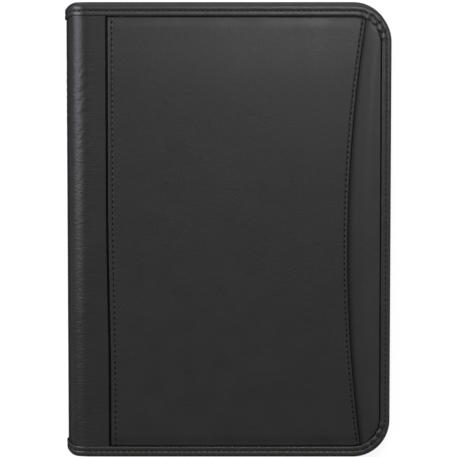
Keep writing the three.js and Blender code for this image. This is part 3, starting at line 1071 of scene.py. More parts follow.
@dataclass
class EdgeBinding:
    """The binding strip that wraps over the edge of one cover, and its two rows of stitches.

    Each point of the section has an inset from the edge, a depth below the leather's face
    and a share of the leg's depth, which is 0 on the outer leg and 1 on the inner one.
    """

    side: Side
    leg_depth: float
    spine_leg_depth: float = 4.1
    spacing: float = 1.1
    stitch_inset: float = 3.6
    stitch_radius: float = 0.34
    stitch_rows: tuple[tuple[float, float, float], ...] = ((-0.64, 0.0, 1.0), (-0.02, 1.0, -1.0))
    seat: float = 0.07
    seat_width: float = 1.4
    pucker: float = 0.10
    pucker_size: float = 9.0
    pucker_seed: float = 2.0
    drawn_from: tuple[float, float] = (1.0, 5.5)
    pleat_height: float = 0.62
    pleat_reach: float = 0.9
    pleat_from: tuple[float, float] = (3.6, 6.5)
    pleats: int = 5
    bulge: float = 0.45
    bulge_reach: float = 3.0
    section: tuple[tuple[float, float, float], ...] = (
        (6.45, 0.10, 0), (6.90, -0.05, 0), (6.95, -0.55, 0), (6.80, -0.88, 0), (6.45, -1.02, 0),
        (5.8, -1.08, 0), (5.0, -1.06, 0), (4.3, -1.00, 0), (3.9, -0.82, 0), (3.6, -0.64, 0),
        (3.3, -0.80, 0), (2.9, -0.92, 0), (2.1, -0.97, 0), (1.4, -0.98, 0), (0.75, -0.86, 0),
        (0.24, -0.30, 0), (0.0, 0.6, 0), (0.0, 0.5, 0.25), (0.0, 0.3, 0.5), (0.0, -0.2, 0.8),
        (0.05, -0.9, 1), (0.3, -0.35, 1), (0.8, -0.02, 1), (1.6, 0.05, 1), (2.5, -0.06, 1),
        (3.6, -0.16, 1), (4.1, -0.06, 1), (4.6, 0.05, 1), (4.9, -0.05, 1), (5.05, -0.35, 1),
        (4.8, -0.55, 1), (0.85, -0.65, 1), (0.75, 0.2, 0), (5.9, 0.05, 0),
    )

    def stations(self) -> list[Station]:
        """List the points of the edge, from the spine's head round to its foot."""
        radius = OUTLINE.fore_radius
        corner_run = FOLD.run_at(OUTLINE.half_width - radius)
        corner_y = OUTLINE.half_height - radius
        half = [
            Station(run, OUTLINE.reach(FOLD.x_at(run), 0.0), 0.0, -1.0)
            for run in steps((0.0, self.spacing), (corner_run, self.spacing))
        ]
        for turn in steps((0.0, self.spacing / radius), (math.pi / 2, 1.0))[1:]:
            out_run, out_y = math.sin(turn), math.cos(turn)
            run, y = corner_run + radius * out_run, corner_y + radius * out_y
            half.append(Station(run, y, -out_run, -out_y, turn / (math.pi / 2)))
        last = FOLD.run_at(OUTLINE.half_width)
        fore = [
            Station(last, y, -1.0, 0.0)
            for y in steps((-corner_y, self.spacing), (corner_y, self.spacing))[1:-1]
        ]
        mirrored = [Station(s.run, -s.y, s.in_run, -s.in_y, s.corner) for s in reversed(half)]
        return half + fore[::-1] + mirrored

    def place(self, station: Station, inset: float, depth: float, inner: float) -> Vector:
        """Find a point of the binding.

        Args:
            station: Where along the edge.
            inset: How far in from the edge.
            depth: How far below the leather's face.
            inner: How much of the leg's own depth is added.

        Returns:
            The place, in millimetres.
        """
        leg = self.spine_leg_depth
        leg += (self.leg_depth - self.spine_leg_depth) * FOLD.on_cover(station.run)
        straight = station.corner == 0
        length = station.run + station.y if straight else station.corner * CORNER_LENGTH
        drawn = smooth(inset, *self.drawn_from)
        if inner == 0:
            inset *= 1 + extra_width(station.y)
        size = self.pucker_size
        pucker = uneven(station.run / size, station.y / size, self.pucker_seed + inner)
        pull = self.pucker * pucker * drawn
        held = hump(inset, self.stitch_inset, self.seat_width)
        pull += self.seat * (abs(math.sin(math.pi * length / STITCH_PITCH)) * held)
        if 0 < station.corner < 1:
            turned = math.sin(math.pi * station.corner) ** 0.5
            wave = abs(math.sin(math.pi * self.pleats * station.corner)) - 0.5
            pull += self.pleat_height * wave * turned * drawn
            inset += self.pleat_reach * wave * turned * smooth(inset, *self.pleat_from)
        depth -= pull if inner == 0 else -pull * inner
        run = station.run + station.in_run * inset
        bulge = self.bulge * (1 - smooth(inset, 0.0, self.bulge_reach))
        y = station.y + station.in_y * (inset - bulge)
        return FOLD.place(run * self.side.value, y, depth + inner * leg)

    def strip(self) -> Shape:
        """Sweep the strip's section round the edge."""
        path = self.stations()

        def at(index: int, point: tuple[float, ...]) -> Vector:
            """Find a point of the section at a station."""
            return self.place(path[index], *point)

        return channel(self.section, len(path), at, self.spacing)

    def threads(self) -> Shape:
        """Sew the rows of stitches on the outer and the inner leg."""
        shape = bmesh.new()
        path = self.stations()
        for depth, inner, out in self.stitch_rows:
            points = [self.place(s, self.stitch_inset, depth, inner) for s in path]
            above = [self.place(s, self.stitch_inset, depth - out, inner) for s in path]
            ups = [(up - point).normalized() for up, point in zip(above, points)]
            sew(shape, points, ups, self.stitch_radius)
        return shape

    def build(self, *nodes: str) -> None:
        """Build the strip and its threads.

        Args:
            nodes: The CAD nodes that the strip replaces.
        """
        name = self.side.name.lower()
        strip = finish_piece(self.strip(), f"{name}_edge_binding", BINDING_LEATHER)
        threads = finish_piece(self.threads(), f"{name}_binding_stitches", THREAD)
        for piece in (strip, threads):
            self.side.join(piece)
        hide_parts(*nodes)


@dataclass
class PocketPanel:
    """The outside pocket: a panel with a turned edge at the seam and at its bowed mouth."""

    mouth_head_x: float = 103.6
    mouth_middle_x: float = 88.9
    mouth_foot_x: float = 99.9
    thickness: float = 0.9
    top_z: float = 30.0
    gap_fall: float = 1.1
    crown: float = 0.7
    crown_reach: float = 115.0
    end_fall: float = 0.9
    end_reach: float = 80.0
    wave: Wave = Wave(0.06, 42.0, 1.0)
    seam_stitch: float = 3.4
    seam_bead: float = 0.34
    mouth_stitch: float = 2.6
    mouth_bead: float = 0.26
    bead_share: float = 0.33
    bead_width: float = 0.32
    groove: float = 0.28
    groove_width: float = 0.6
    turn_fall: float = 1.3
    turn_from: tuple[float, float] = (-0.3, 0.35)
    roll_fall: float = 0.45
    roll_reach: float = 1.0
    # Between which distances from the two turned edges the painted shade fades out
    shut_from: tuple[float, float] = (-0.1, 0.25)
    inset: float = 6.2
    thread_reach: float = 161.5
    thread_lift: float = 0.12
    thread_radius: float = 0.46
    thread_gap: float = 1.9
    lines: tuple[tuple[float, float], ...] = ((0.9, 0.28), (5.5, 3.0))
    edge_line: float = 0.1
    rows: tuple[float, float] = (0.955, 0.009)

    def mouth_x(self, y: float) -> float:
        """Return where the mouth's edge lies at a height.

        Args:
            y: The height along the spine.

        Returns:
            Its x; the mouth is a parabola that leans towards the foot.
        """
        part = y / OUTLINE.half_height
        ends = (self.mouth_head_x + self.mouth_foot_x) / 2
        lean = (self.mouth_head_x - self.mouth_foot_x) / 2
        return self.mouth_middle_x + lean * part + (ends - self.mouth_middle_x) * part * part

    def top(self, x: float, y: float) -> float:
        """Give the height of the panel's face.

        Args:
            x: Across the cover.
            y: Along the spine.

        Returns:
            The height z, in millimetres.
        """
        filled = filled_by(OUTLINE.depth(x, y), y)
        z = self.top_z - self.gap_fall * (1 - filled)
        z += self.crown * (max(0.0, 1 - (x / self.crown_reach) ** 2) - 0.5)
        high, low = OUTLINE.half_height, OUTLINE.half_height - self.end_reach
        z -= self.end_fall * (1 - smooth(y, high, low)) ** 2
        z += self.wave.at(x, y) * filled
        for distance, stitch, bead in (
            (x - seam_x(y), self.seam_stitch, self.seam_bead),
            (self.mouth_x(y) - x, self.mouth_stitch, self.mouth_bead),
        ):
            z += bead * hump(distance, stitch * self.bead_share, stitch * self.bead_width)
            z -= self.groove * hump(distance, stitch, self.groove_width)
            turned = self.turn_fall * (1 - smooth(distance, *self.turn_from))
            z -= turned + self.roll_fall * (1 - smooth(distance, 0.0, self.roll_reach))
        return z

    def painted_shade_amount(self, x: float, y: float) -> float:
        """Say how much painted shade lies on the panel, which is only at its two turned edges.

        Args:
            x: Across the cover.
            y: Along the spine.

        Returns:
            From 0 in the open to 1 in the depth of a fold, where the painted shade is full.
        """
        apart = (x - seam_x(y), self.mouth_x(y) - x)
        return 1 - min(smooth(distance, *self.shut_from) for distance in apart)

    def face(self) -> Shape:
        """Lay the panel's net between the seam and the mouth."""
        width = self.mouth_middle_x - seam_x(0.0)
        (turned, line), (near, wide) = ((at / width, by / width) for at, by in self.lines)
        rim = self.edge_line / width
        across = steps(
            (0.0, rim), (turned, line), (near, wide), (1 - near, line), (1 - turned, rim), (1.0, 1.0)
        )

        def at(share: float, part: float) -> Vector:
            """Find a point of the net; x is found at the height before the ends are drawn in.

            Args:
                share: How far from the seam to the mouth.
                part: How far from the middle to the head, or to the foot below 0.

            Returns:
                The place, in millimetres.
            """
            y = part * OUTLINE.half_height
            x = seam_x(y) + share * (self.mouth_x(y) - seam_x(y))
            y = part * OUTLINE.reach(x, self.inset)
            return Vector((x, y, self.top(x, y)))

        shape = net(across, net_rows(*self.rows), at)
        orient(shape, outwards=Side.FRONT)
        return shape

    def threads(self) -> Shape:
        """Sew the seam and the hem of the mouth."""
        shape = bmesh.new()
        up = Vector((0, 0, 1))
        for edge, inwards in ((seam_x, self.seam_stitch), (self.mouth_x, -self.mouth_stitch)):
            points = []
            for y in steps((-self.thread_reach, 1.0), (self.thread_reach, 1.0)):
                x = edge(y) + inwards
                points.append(Vector((x, y, self.top(x, y) + self.thread_lift)))
            sew(shape, points, [up] * len(points), self.thread_radius, self.thread_gap)
        return shape

    def build(self) -> None:
        """Build the panel and its threads."""
        panel = finish_piece(self.face(), "front_pocket", COVER_LEATHER)
        # Paint shade along the panel's turned edges
        mark_painted_shade(panel, self.painted_shade_amount)
        thicken(panel, self.thickness)
        threads = finish_piece(self.threads(), "front_pocket_stitches", THREAD)
        for piece in (panel, threads):
            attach(piece, Side.FRONT.body)
        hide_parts("front_pocket_panel")


@dataclass
class BasePanel:
    """The leather behind the outside pocket, which shows between its mouth and the binding."""

    end_x: float = 119.3
    lines: tuple[tuple[float, float], ...] = ((-81.7, 8.0), (82.0, 1.2), (110.0, 0.35))
    rows: tuple[float, float] = (0.94, 0.009)
    inset: float = 1.2
    low_z: float = 28.35
    fill: float = 1.0
    rise: tuple[float, float] = (1.5, 13.0)
    wave: Wave = Wave(0.12, 30.0, 7.0)
    # Painted shade beside and under the pocket's mouth, where the pocket's edge shades the panel: its
    # strength, where it fades out past the mouth, and how it fades
    shade: float = 0.72
    shade_reach: tuple[float, float] = (-0.5, 6.0)
    shade_power: float = 0.6
    thickness: float = 0.9
    pocket: PocketPanel = field(default_factory=PocketPanel)

    def top(self, x: float, y: float) -> float:
        """Return the height of the panel's face at a point."""
        rise = (self.fill + self.wave.at(x, y)) * smooth(x - self.pocket.mouth_x(y), *self.rise)
        return self.low_z + rise * filled_by(OUTLINE.depth(x, y), y)

    def painted_shade_amount(self, x: float, y: float) -> float:
        """Return how much painted shade lies on the panel at a point: under and beside the pocket's
        mouth.
        """
        past = smooth(x - self.pocket.mouth_x(y), *self.shade_reach)
        return self.shade * (1 - past**self.shade_power)

    def build(self) -> None:
        """Build the panel."""

        def at(x: float, part: float) -> Vector:
            """Find a point of the net."""
            y = part * OUTLINE.reach(x, self.inset)
            return Vector((x, y, self.top(x, y)))

        shape = net(steps(*self.lines, (self.end_x, 1.0)), net_rows(*self.rows), at)
        orient(shape, outwards=Side.FRONT)
        panel = finish_piece(shape, "front_base", BASE_LEATHER)
        # Paint shade beside and under the pocket's mouth
        mark_painted_shade(panel, self.painted_shade_amount)
        thicken(panel, self.thickness)
        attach(panel, Side.FRONT.body)
        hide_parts("front_base_panel")


@dataclass
class Padding:
    """A thin sheet of foam under the leather of one cover."""

    side: Side
    face_z: float
    inset: float
    start_x: float
    thickness: float = 0.9
    rough: Wave = Wave(0.06, 12.0, 4.0)
    wide: float = 8.0
    fine_x: float = 93.0
    fine: float = 2.0
    row: float = 0.05

    def build(self) -> None:
        """Build the sheet, with a slightly uneven face."""

        def at(x: float, part: float) -> Vector:
            """Find a point of the net."""
            y = part * OUTLINE.reach(x, self.inset)
            return Vector((x, y, self.face_z - self.side.value * abs(self.rough.at(x, y))))

        end_x = OUTLINE.half_width - self.inset
        across = steps((self.start_x, self.wide), (self.fine_x, self.fine), (end_x, 1.0))
        shape = net(across, steps((-1.0, self.row), (1.0, 1.0)), at)
        orient(shape, outwards=self.side)
        piece = finish_piece(shape, f"{self.side.body}_foam", FOAM_SHEET)
        thicken(piece, self.thickness - self.rough.height)
        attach(piece, self.side.body)
        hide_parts(f"{self.side.body}_padding")


@dataclass
class Covers:
    """The leather case itself: both covers, the spine between them and their edges."""

    lining_spine_depth: float = 2.7
    lining_thickness: float = 0.5
    lining_wave: float = 0.08

    def lining(self, side: Side, cover_depth: float) -> Skin:
        """Lay out the lining of one side, which has no padding and no wrinkles.

        Args:
            side: The cover.
            cover_depth: How far the lining lies below the leather's face there.

        Returns:
            The lining, not built yet.
        """
        return Skin(
            side,
            self.lining_thickness,
            spine_depth=self.lining_spine_depth,
            cover_depth=cover_depth,
            panel_rise=0.0,
            wrinkle=0.0,
            wave=self.lining_wave,
        )

    def build(self) -> None:
        """Build every layer of the case, from the outside in."""
        back, front = Side.BACK, Side.FRONT
        Skin(back).build("back_leather", SPINE_LEATHER, "leather", "back_cover_leather")
        Skin(front, end_x=-82.0, panel_rise=0.0, seam_dip=1.08).build(
            "spine_and_wrap_leather", SPINE_LEATHER, "leather", "spine_leather", "front_spine_wrap"
        )
        self.lining(back, 3.3).build("back_lining", LINING_CLOTH, "lining", "back_cover_lining")
        self.lining(front, 4.5).build(
            "front_lining", LINING_CLOTH, "lining", "spine_lining", "front_cover_lining"
        )
        BasePanel().build()
        PocketPanel().build()
        Padding(back, face_z=1.2, inset=8.6, start_x=-101.0).build()
        Padding(front, face_z=27.6, inset=8.3, start_x=-102.2).build()
        EdgeBinding(back, leg_depth=4.7).build("back_cover_binding", "spine_binding_foot")
        EdgeBinding(front, leg_depth=5.9).build("front_cover_binding", "spine_binding_head")


# Zip


@dataclass(frozen=True)
class Gait:
    """A place along the zip with the directions along it and into the case."""

    at: Vector
    along: Vector
    inwards: Vector


@dataclass
class ZipRow:
    """One half of the zip: a woven tape with a cord at its edge, and a row of moulded teeth."""

    side: Side
    tape_outer_z: float
    tape_inner_z: float
    teeth_low_z: float
    inset: float = 5.0
    tape_half: float = 0.32
    tape_start_x: float = -104.0
    cord_half: float = 0.62
    spacing: float = 2.4
    ripple: float = 0.12
    ripple_turn: float = 0.9
    ripple_from: tuple[float, float] = (0.5, 3.0)
    tooth_pitch: float = 2.2
    tooth_size: tuple[float, float, float] = (1.25, 2.3, 2.8)
    tooth_taper: tuple[float, float, float] = (0.72, 0.8, 1.0)
    tooth_bevel: float = 0.22
    teeth_start_x: float = -99.6

    def gaits(self, start_x: float, spacing: float) -> list[Gait]:
        """List evenly spaced places of the zip, from the spine's head round to its foot.

        Args:
            start_x: Where it starts and ends beside the spine.
            spacing: From one place to the next.

        Returns:
            The places in order.
        """
        radius = OUTLINE.fore_radius - self.inset
        corner_x = OUTLINE.half_width - OUTLINE.fore_radius
        corner_y = OUTLINE.half_height - OUTLINE.fore_radius
        top = corner_x - start_x
        bend = radius * math.pi / 2
        side = 2 * corner_y
        total = 2 * top + 2 * bend + side
        found = []
        for number in range(int(total / spacing) + 1):
            run = min(number * spacing, total)
            mirrored = run > total / 2
            part = total - run if mirrored else run
            if part <= top:
                turn, x, y = 0.0, start_x + part, corner_y + radius
            elif part <= top + bend:
                turn = (part - top) / radius
                x = corner_x + radius * math.sin(turn)
                y = corner_y + radius * math.cos(turn)
            else:
                turn, x, y = math.pi / 2, corner_x + radius, corner_y - (part - top - bend)
            flip = -1.0 if mirrored else 1.0
            along = Vector((math.cos(turn) * flip, -math.sin(turn), 0.0))
            inwards = Vector((-math.sin(turn), -math.cos(turn) * flip, 0.0))
            found.append(Gait(Vector((x, y * flip, 0.0)), along, inwards))
        return found

    def tape(self) -> Shape:
        """Sweep the tape and its cord."""
        low, high = self.tape_outer_z, self.tape_inner_z
        up = 1.0 if high > low else -1.0
        cord = high - up * 2 * self.cord_half
        half, bead = self.tape_half, self.cord_half
        rise = up * 0.5 * bead
        leg = [(half, low), (half, cord), (bead, cord + rise), (bead, high - rise), (half, high)]
        ring = [(-across, z) for across, z in leg] + leg[::-1]
        path = self.gaits(self.tape_start_x, self.spacing)

        def at(index: int, point: tuple[float, ...]) -> Vector:
            """Find a point of the tape's section.

            Args:
                index: The number of the place along the zip.
                point: The point's two measures, across the tape and up.

            Returns:
                The place, in millimetres.
            """
            across, z = point
            wave = math.sin(index * self.ripple_turn) * smooth(abs(z - low), *self.ripple_from)
            gait = path[index]
            return gait.at + gait.inwards * (across + self.ripple * wave) + Vector((0, 0, z))

        return channel(ring, len(path), at, self.spacing)

    def teeth(self) -> Shape:
        """Mould the teeth, each with a narrower head towards the other row."""
        up = -self.side.value
        tooth = bmesh.new()
        bmesh.ops.create_cube(tooth, size=1.0)
        bmesh.ops.scale(tooth, vec=self.tooth_size, verts=tooth.verts)
        heads = [vert for vert in tooth.verts if vert.co.z * up > 0]
        bmesh.ops.scale(tooth, vec=self.tooth_taper, verts=heads)
        bevel(tooth, tooth.edges, self.tooth_bevel, 1)
        middle = self.teeth_low_z + self.tooth_size[2] / 2
        matrices = []
        for gait in self.gaits(self.teeth_start_x, self.tooth_pitch):
            turn = Matrix((gait.along, gait.inwards, Vector((0, 0, 1)))).transposed().to_4x4()
            matrices.append(Matrix.Translation(gait.at + Vector((0, 0, middle))) @ turn)
        shape = bmesh.new()
        repeat(shape, tooth, matrices)
        bmesh.ops.recalc_face_normals(shape, faces=shape.faces)
        return shape

    def build(self) -> None:
        """Build the tape and the teeth."""
        name = self.side.name.lower()
        tape = finish_piece(self.tape(), f"{name}_woven_tape", TAPE_CLOTH)
        teeth = finish_piece(self.teeth(), f"{name}_moulded_teeth", NYLON, flat=True)
        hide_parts(f"{name}_zip_tape")
        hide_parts(f"{name}_zip_teeth")
        for piece in (tape, teeth):
            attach(piece, self.side.body)


@dataclass
class ZipSlider:
    """The slider: two plates with guiding lips, a post between them, a bail and a pull tab."""

    middle: tuple[float, float, float] = (-92.25, -163.5, 14.4)
    length: float = 9.5
    width: float = 8.6
    plate: float = 1.0
    inner: float = 1.55
    mouth_share: float = 0.78
    lip: float = 0.6
    lip_thick: float = 0.4
    lip_sunk: float = 0.3
    lip_share: float = 0.8
    post_length: float = 3.0
    post_width: float = 0.6
    plate_bevel: float = 0.18
    bail_wire: float = 0.42
    bail_half: float = 3.1
    bail_rise: float = 2.0
    bail_sunk: float = 0.7
    bail_sides: int = 8
    bail_steps: int = 14
    pull_length: float = 25.0
    pull_width: float = 6.4
    pull_thickness: float = 0.8
    pull_y: float = -166.7
    pull_corner: float = 0.75
    pull_corner_steps: int = 7
    pull_bevel: float = 0.16
    eye: tuple[float, float] = (5.1, 3.6)
    eye_margin: float = 0.4
    eye_sides: int = 20
    sharp_angle: float = 1.0

    def plates(self) -> Shape:
        """Shape the plates, their lips and the post that joins them."""
        shape = bmesh.new()
        for sign in (-1.0, 1.0):
            middle = sign * (self.inner + self.plate / 2)
            block(shape, (self.length, self.plate, self.width), (0.0, middle, 0.0))
            for edge in (-1.0, 1.0):
                lip_y = sign * (self.inner - self.lip_thick * self.lip_sunk)
                place = (0.0, lip_y, edge * (self.width / 2 - self.lip / 2))
                block(shape, (self.length * self.lip_share, self.lip_thick, self.lip), place)
        size = (self.post_length, 2 * self.inner + self.plate, self.post_width)
        block(shape, size, (self.length / 2 - self.post_length / 2, 0.0, 0.0))
        for vert in shape.verts:
            if vert.co.x < 0:
                vert.co.z *= self.mouth_share
        bevel(shape, shape.edges, self.plate_bevel, 2)
        return shape

    def bail(self, shape: Shape) -> None:
        """Bend the bail's wire over the outer plate.

        Args:
            shape: The slider, which the bail is added to.
        """
        face = -(self.inner + self.plate * self.bail_sunk)
        sides, plates = self.bail_sides, set(shape.verts)
        ring = bmesh.ops.create_circle(shape, segments=sides, radius=self.bail_wire)["verts"]
        turn = Matrix.Rotation(math.pi / 2, 4, "X")
        bmesh.ops.transform(shape, matrix=turn, verts=ring)
        bmesh.ops.translate(shape, vec=(self.bail_half, face, 0.0), verts=ring)
        edges = list(dict.fromkeys(edge for vert in ring for edge in vert.link_edges))
        bmesh.ops.spin(
            shape,
            geom=ring + edges,
            cent=(0.0, face, 0.0),
            axis=(0.0, 0.0, 1.0),
            dvec=(0.0, 0.0, 0.0),
            angle=-math.pi,
            steps=self.bail_steps,
            use_duplicate=False,
        )
        ends = [edge for edge in shape.edges if edge.is_boundary]
        bmesh.ops.holes_fill(shape, edges=ends, sides=sides)
        for vert in shape.verts:
            if vert not in plates:
                vert.co.y = face + (vert.co.y - face) * self.bail_rise / self.bail_half

    def tab(self) -> Shape:
        """Stamp the pull tab out of sheet, with an eye for the bail."""
        shape = bmesh.new()
        high, half = self.pull_length - self.pull_thickness / 2, self.pull_width / 2
        low = -self.pull_thickness / 2
        corners = [(low, -half), (high, -half), (high, half), (low, half)]
        face = shape.faces.new([shape.verts.new((x, y, 0.0)) for x, y in corners])
        steps_round = self.pull_corner_steps
        bevel(shape, face.verts, half * self.pull_corner, steps_round, affect="VERTICES")
        bmesh.ops.delete(shape, geom=shape.faces[:], context="FACES_ONLY")
        hole = bmesh.ops.create_circle(shape, segments=self.eye_sides, radius=0.5)["verts"]
        bmesh.ops.scale(shape, vec=(self.eye[0], self.eye[1], 1.0), verts=hole)
        bmesh.ops.translate(shape, vec=(self.eye[0] / 2 + self.eye_margin, 0, 0), verts=hole)
        bmesh.ops.triangle_fill(shape, edges=shape.edges[:], use_beauty=True, use_dissolve=False)
        bmesh.ops.solidify(shape, geom=shape.faces[:], thickness=self.pull_thickness)
        bmesh.ops.recalc_face_normals(shape, faces=shape.faces)
        sharp = [edge for edge in shape.edges if edge.calc_face_angle(0.0) > self.sharp_angle]
        bevel(shape, sharp, self.pull_bevel, 2)
        low_z = min(vert.co.z for vert in shape.verts)
        high_z = max(vert.co.z for vert in shape.verts)
        bmesh.ops.translate(shape, vec=(0, 0, -(low_z + high_z) / 2), verts=shape.verts)
        bmesh.ops.transform(shape, matrix=Matrix.Rotation(math.pi / 2, 4, "X"), verts=shape.verts)
        return shape

    def build(self) -> None:
        """Build the slider and its pull tab."""
        body = self.plates()
        self.bail(body)
        bmesh.ops.translate(body, vec=self.middle, verts=body.verts)
        slider = finish_piece(body, "slider_body", PLATED_ZINC)
        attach(slider, "zip_slider")
        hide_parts("zip_slider")
        tab = self.tab()
        x, _, z = self.middle
        bmesh.ops.translate(tab, vec=(x, self.pull_y, z), verts=tab.verts)
        pull = finish_piece(tab, "slider_pull", PLATED_ZINC)
        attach(pull, "zip_pull")
        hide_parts("zip_pull_tab")


# Inside


@dataclass
class SewnPanel:
    """A flat piece of leather with turned edges, sewn down along some of them."""

    name: str
    node: str
    body: str
    left: float
    right: float
    foot: float
    head: float
    face_z: float
    looks: Side
    thickness: float = 0.7
    edge_inset: float = 5.3
    hem_drop: float = 0.35
    stitch_inset: float = 2.0
    bulge: float = 0.2
    sewn: tuple[str, ...] = ("left", "right", "foot")
    window: float = 0.0
    border: float = 4.0
    line: float = 0.5
    wide_line: float = 3.5
    window_line: float = 4.0
    hem_reach: float = 0.7
    groove: float = 0.16
    groove_width: float = 0.8
    bulge_from: tuple[float, float] = (3.0, 25.0)
    wave: float = 0.10
    wave_size: float = 25.0
    wave_from: tuple[float, float] = (2.0, 12.0)
    thread_lift: float = 0.06
    thread_radius: float = 0.22

    def low(self, x: float) -> float:
        """Return the foot of the panel at x, inside the rounded corners."""
        return max(self.foot, -OUTLINE.reach(x, self.edge_inset))

    def distances(self, x: float, y: float) -> dict[str, float]:
        """Return how far a point is from each edge."""
        right, foot = self.right - x, y - self.low(x)
        return {"left": x - self.left, "right": right, "foot": foot, "head": self.head - y}

    def height(self, x: float, y: float) -> float:
        """Give the height of the panel's face.

        Args:
            x: Across the cover.
            y: Along the spine.

        Returns:
            The height z, in millimetres.
        """
        apart = self.distances(x, y)
        nearest = min(apart.values())
        from_seam = min(apart[edge] for edge in self.sewn)
        lift = -self.hem_drop * (1 - smooth(nearest, 0.0, self.hem_reach))
        lift -= self.groove * hump(from_seam, self.stitch_inset, self.groove_width)
        lift += self.bulge * smooth(nearest, *self.bulge_from)
        slow = uneven(x / self.wave_size, y / self.wave_size, self.face_z)
        lift += self.wave * slow * smooth(nearest, *self.wave_from)
        return self.face_z + self.looks.value * lift

    def build(self) -> None:
        """Build the panel and its rows of stitches."""
        tall, border = self.head - self.foot, self.border

        def at(x: float, part: float) -> Vector:
            """Find a point of the net; part runs from the foot to the head."""
            y = self.low(x) + part * (self.head - self.low(x))
            return Vector((x, y, self.height(x, y)))

        line, wide = self.line, self.wide_line
        stops = [(self.left, line), (self.left + border, wide), (self.right - border, line)]
        rows = [(0.0, line / tall), (border / tall, wide / tall), (1 - border / tall, line / tall)]
        if self.window:
            near, far, share = self.left + self.window, self.right - self.window, self.window / tall
            wide = self.window_line
            stops[1:2] = [(self.left + border, 1.0), (near, wide), (far, 1.0)]
            rows[1:2] = [(border / tall, 1.0 / tall), (share, wide / tall), (1 - share, 1.0 / tall)]
        shape = net(steps(*stops, (self.right, 1.0)), steps(*rows, (1.0, 1.0)), at)
        if self.window:
            cut = [
                face
                for face in shape.faces
                if min(self.distances(*face.calc_center_median().xy).values()) > self.window
            ]
            bmesh.ops.delete(shape, geom=cut, context="FACES")
        orient(shape, outwards=self.looks)
        panel = finish_piece(shape, self.name, POCKET_LEATHER)
        thicken(panel, self.thickness)
        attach(panel, self.body)
        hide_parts(self.node)
        threads = finish_piece(self.threads(), f"{self.name}_stitches", THREAD)
        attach(threads, self.body)

    def threads(self) -> Shape:
        """Sew the rows of stitches."""
        shape = bmesh.new()
        up = Vector((0, 0, self.looks.value))
        inset = self.stitch_inset
        left, right, head = self.left + inset, self.right - inset, self.head - inset
        across = steps((left, 2.0), (right, 2.0))
        lines = {
            "left": [(left, y) for y in steps((self.low(left) + inset, 2.0), (head, 2.0))],
            "right": [(right, y) for y in steps((self.low(right) + inset, 2.0), (head, 2.0))],
            "foot": [(x, self.low(x) + inset) for x in across],
        }
        for edge in self.sewn:
            lift = up * self.thread_lift
            points = [Vector((x, y, self.height(x, y))) + lift for x, y in lines[edge]]
            sew(shape, points, [up] * len(points), self.thread_radius)
        return shape


@dataclass
class WritingPad:
    """The letter pad: a stack of sheets with a slightly lifted top one."""

    left: float = -103.1
    right: float = 112.8
    foot: float = -147.0
    head: float = 132.4
    low: float = 7.9
    high: float = 13.3
    layers: int = 14
    layer_share: float = 0.93
    margin: float = 0.7
    slip: float = 0.35
    slip_step: float = 3.7
    slip_seeds: tuple[tuple[float, float], ...] = ((1.5, 8.0), (4.5, 2.0))
    top: float = 0.12
    line: float = 6.0
    lift: float = 1.1
    lift_reach: float = 60.0
    lift_middle: float = 5.0
    lift_from: tuple[float, float] = (60.0, 108.0)
    wave: Wave = Wave(0.08, 50.0, 6.0)

    def stack(self) -> Shape:
        """Pile up the layers of sheets, each slipped a little from the one below."""
        step = (self.high - self.top - self.low) / self.layers
        shape = bmesh.new()
        width, tall = self.right - self.left, self.head - self.foot
        size = (width - self.margin, tall - self.margin, step * self.layer_share)
        x, y = (self.left + self.right) / 2, (self.head + self.foot) / 2
        for layer in range(self.layers):
            at = layer * self.slip_step
            right, down = (self.slip * uneven(at, *seed) for seed in self.slip_seeds)
            block(shape, size, (x + right, y + min(down, 0.0), self.low + step * (layer + 0.5)))
        return shape

    def page(self, x: float, y: float) -> Vector:
        """Find a point of the top sheet, which lifts at its free corners.

        Args:
            x: Across the sheet.
            y: Along it.

        Returns:
            The place, in millimetres.
        """
        free = smooth(self.foot + self.lift_reach - y, 0.0, self.lift_reach)
        side = smooth(abs(x - self.lift_middle), *self.lift_from)
        return Vector((x, y, self.high + self.lift * free * side + abs(self.wave.at(x, y))))

    def build(self) -> None:
        """Build the stack and the top sheet."""
        stack = finish_piece(self.stack(), "paper_stack", PAGE_EDGES, flat=True)
        across = steps((self.left, self.line), (self.right, 1.0))
        sheet = net(across, steps((self.foot, self.line), (self.head, 1.0)), self.page)
        orient(sheet, outwards=Side.FRONT)
        page = finish_piece(sheet, "top_page", BOND_PAPER)
        thicken(page, self.top)
        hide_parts("pad_sheets")
        for piece in (stack, page):
            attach(piece, "writing_pad")


@dataclass
class PenLoop:
    """The knitted elastic loop sewn inside the spine."""

    middle_x: float = -109.8
    middle_z: float = 15.0
    bore: float = 8.6
    wall: float = 1.0
    width: float = 26.0
    rib: float = 0.09
    rib_pitch: float = 1.6
    hem: float = 0.2
    line: float = 0.4
    sides: int = 72

    def build(self) -> None:
        """Build the loop, with ribs along it."""
        inner, outer = self.bore / 2, self.bore / 2 + self.wall
        reach = self.width / 2 - self.hem
        ys = steps((-reach, self.line), (reach, 1.0))
        ring = [(outer + self.rib * math.cos(y * math.tau / self.rib_pitch), y) for y in ys]
        ring += [(inner, y) for y in reversed(ys)]

        def at(index: int, point: tuple[float, ...]) -> Vector:
            """Find a point of the loop's section.

            Args:
                index: The number of the place round the loop.
                point: The point's distance from the loop's middle line, and its y.

            Returns:
                The place, in millimetres.
            """
            radius, y = point
            angle = math.tau * index / self.sides
            x = self.middle_x + radius * math.cos(angle)
            return Vector((x, y, self.middle_z + radius * math.sin(angle)))

        shape = channel(ring, self.sides, at, self.line, closed=True)
        loop = finish_piece(shape, "elastic_pen_loop", ELASTIC_CLOTH)
        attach(loop, "spine")
        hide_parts("pen_loop")


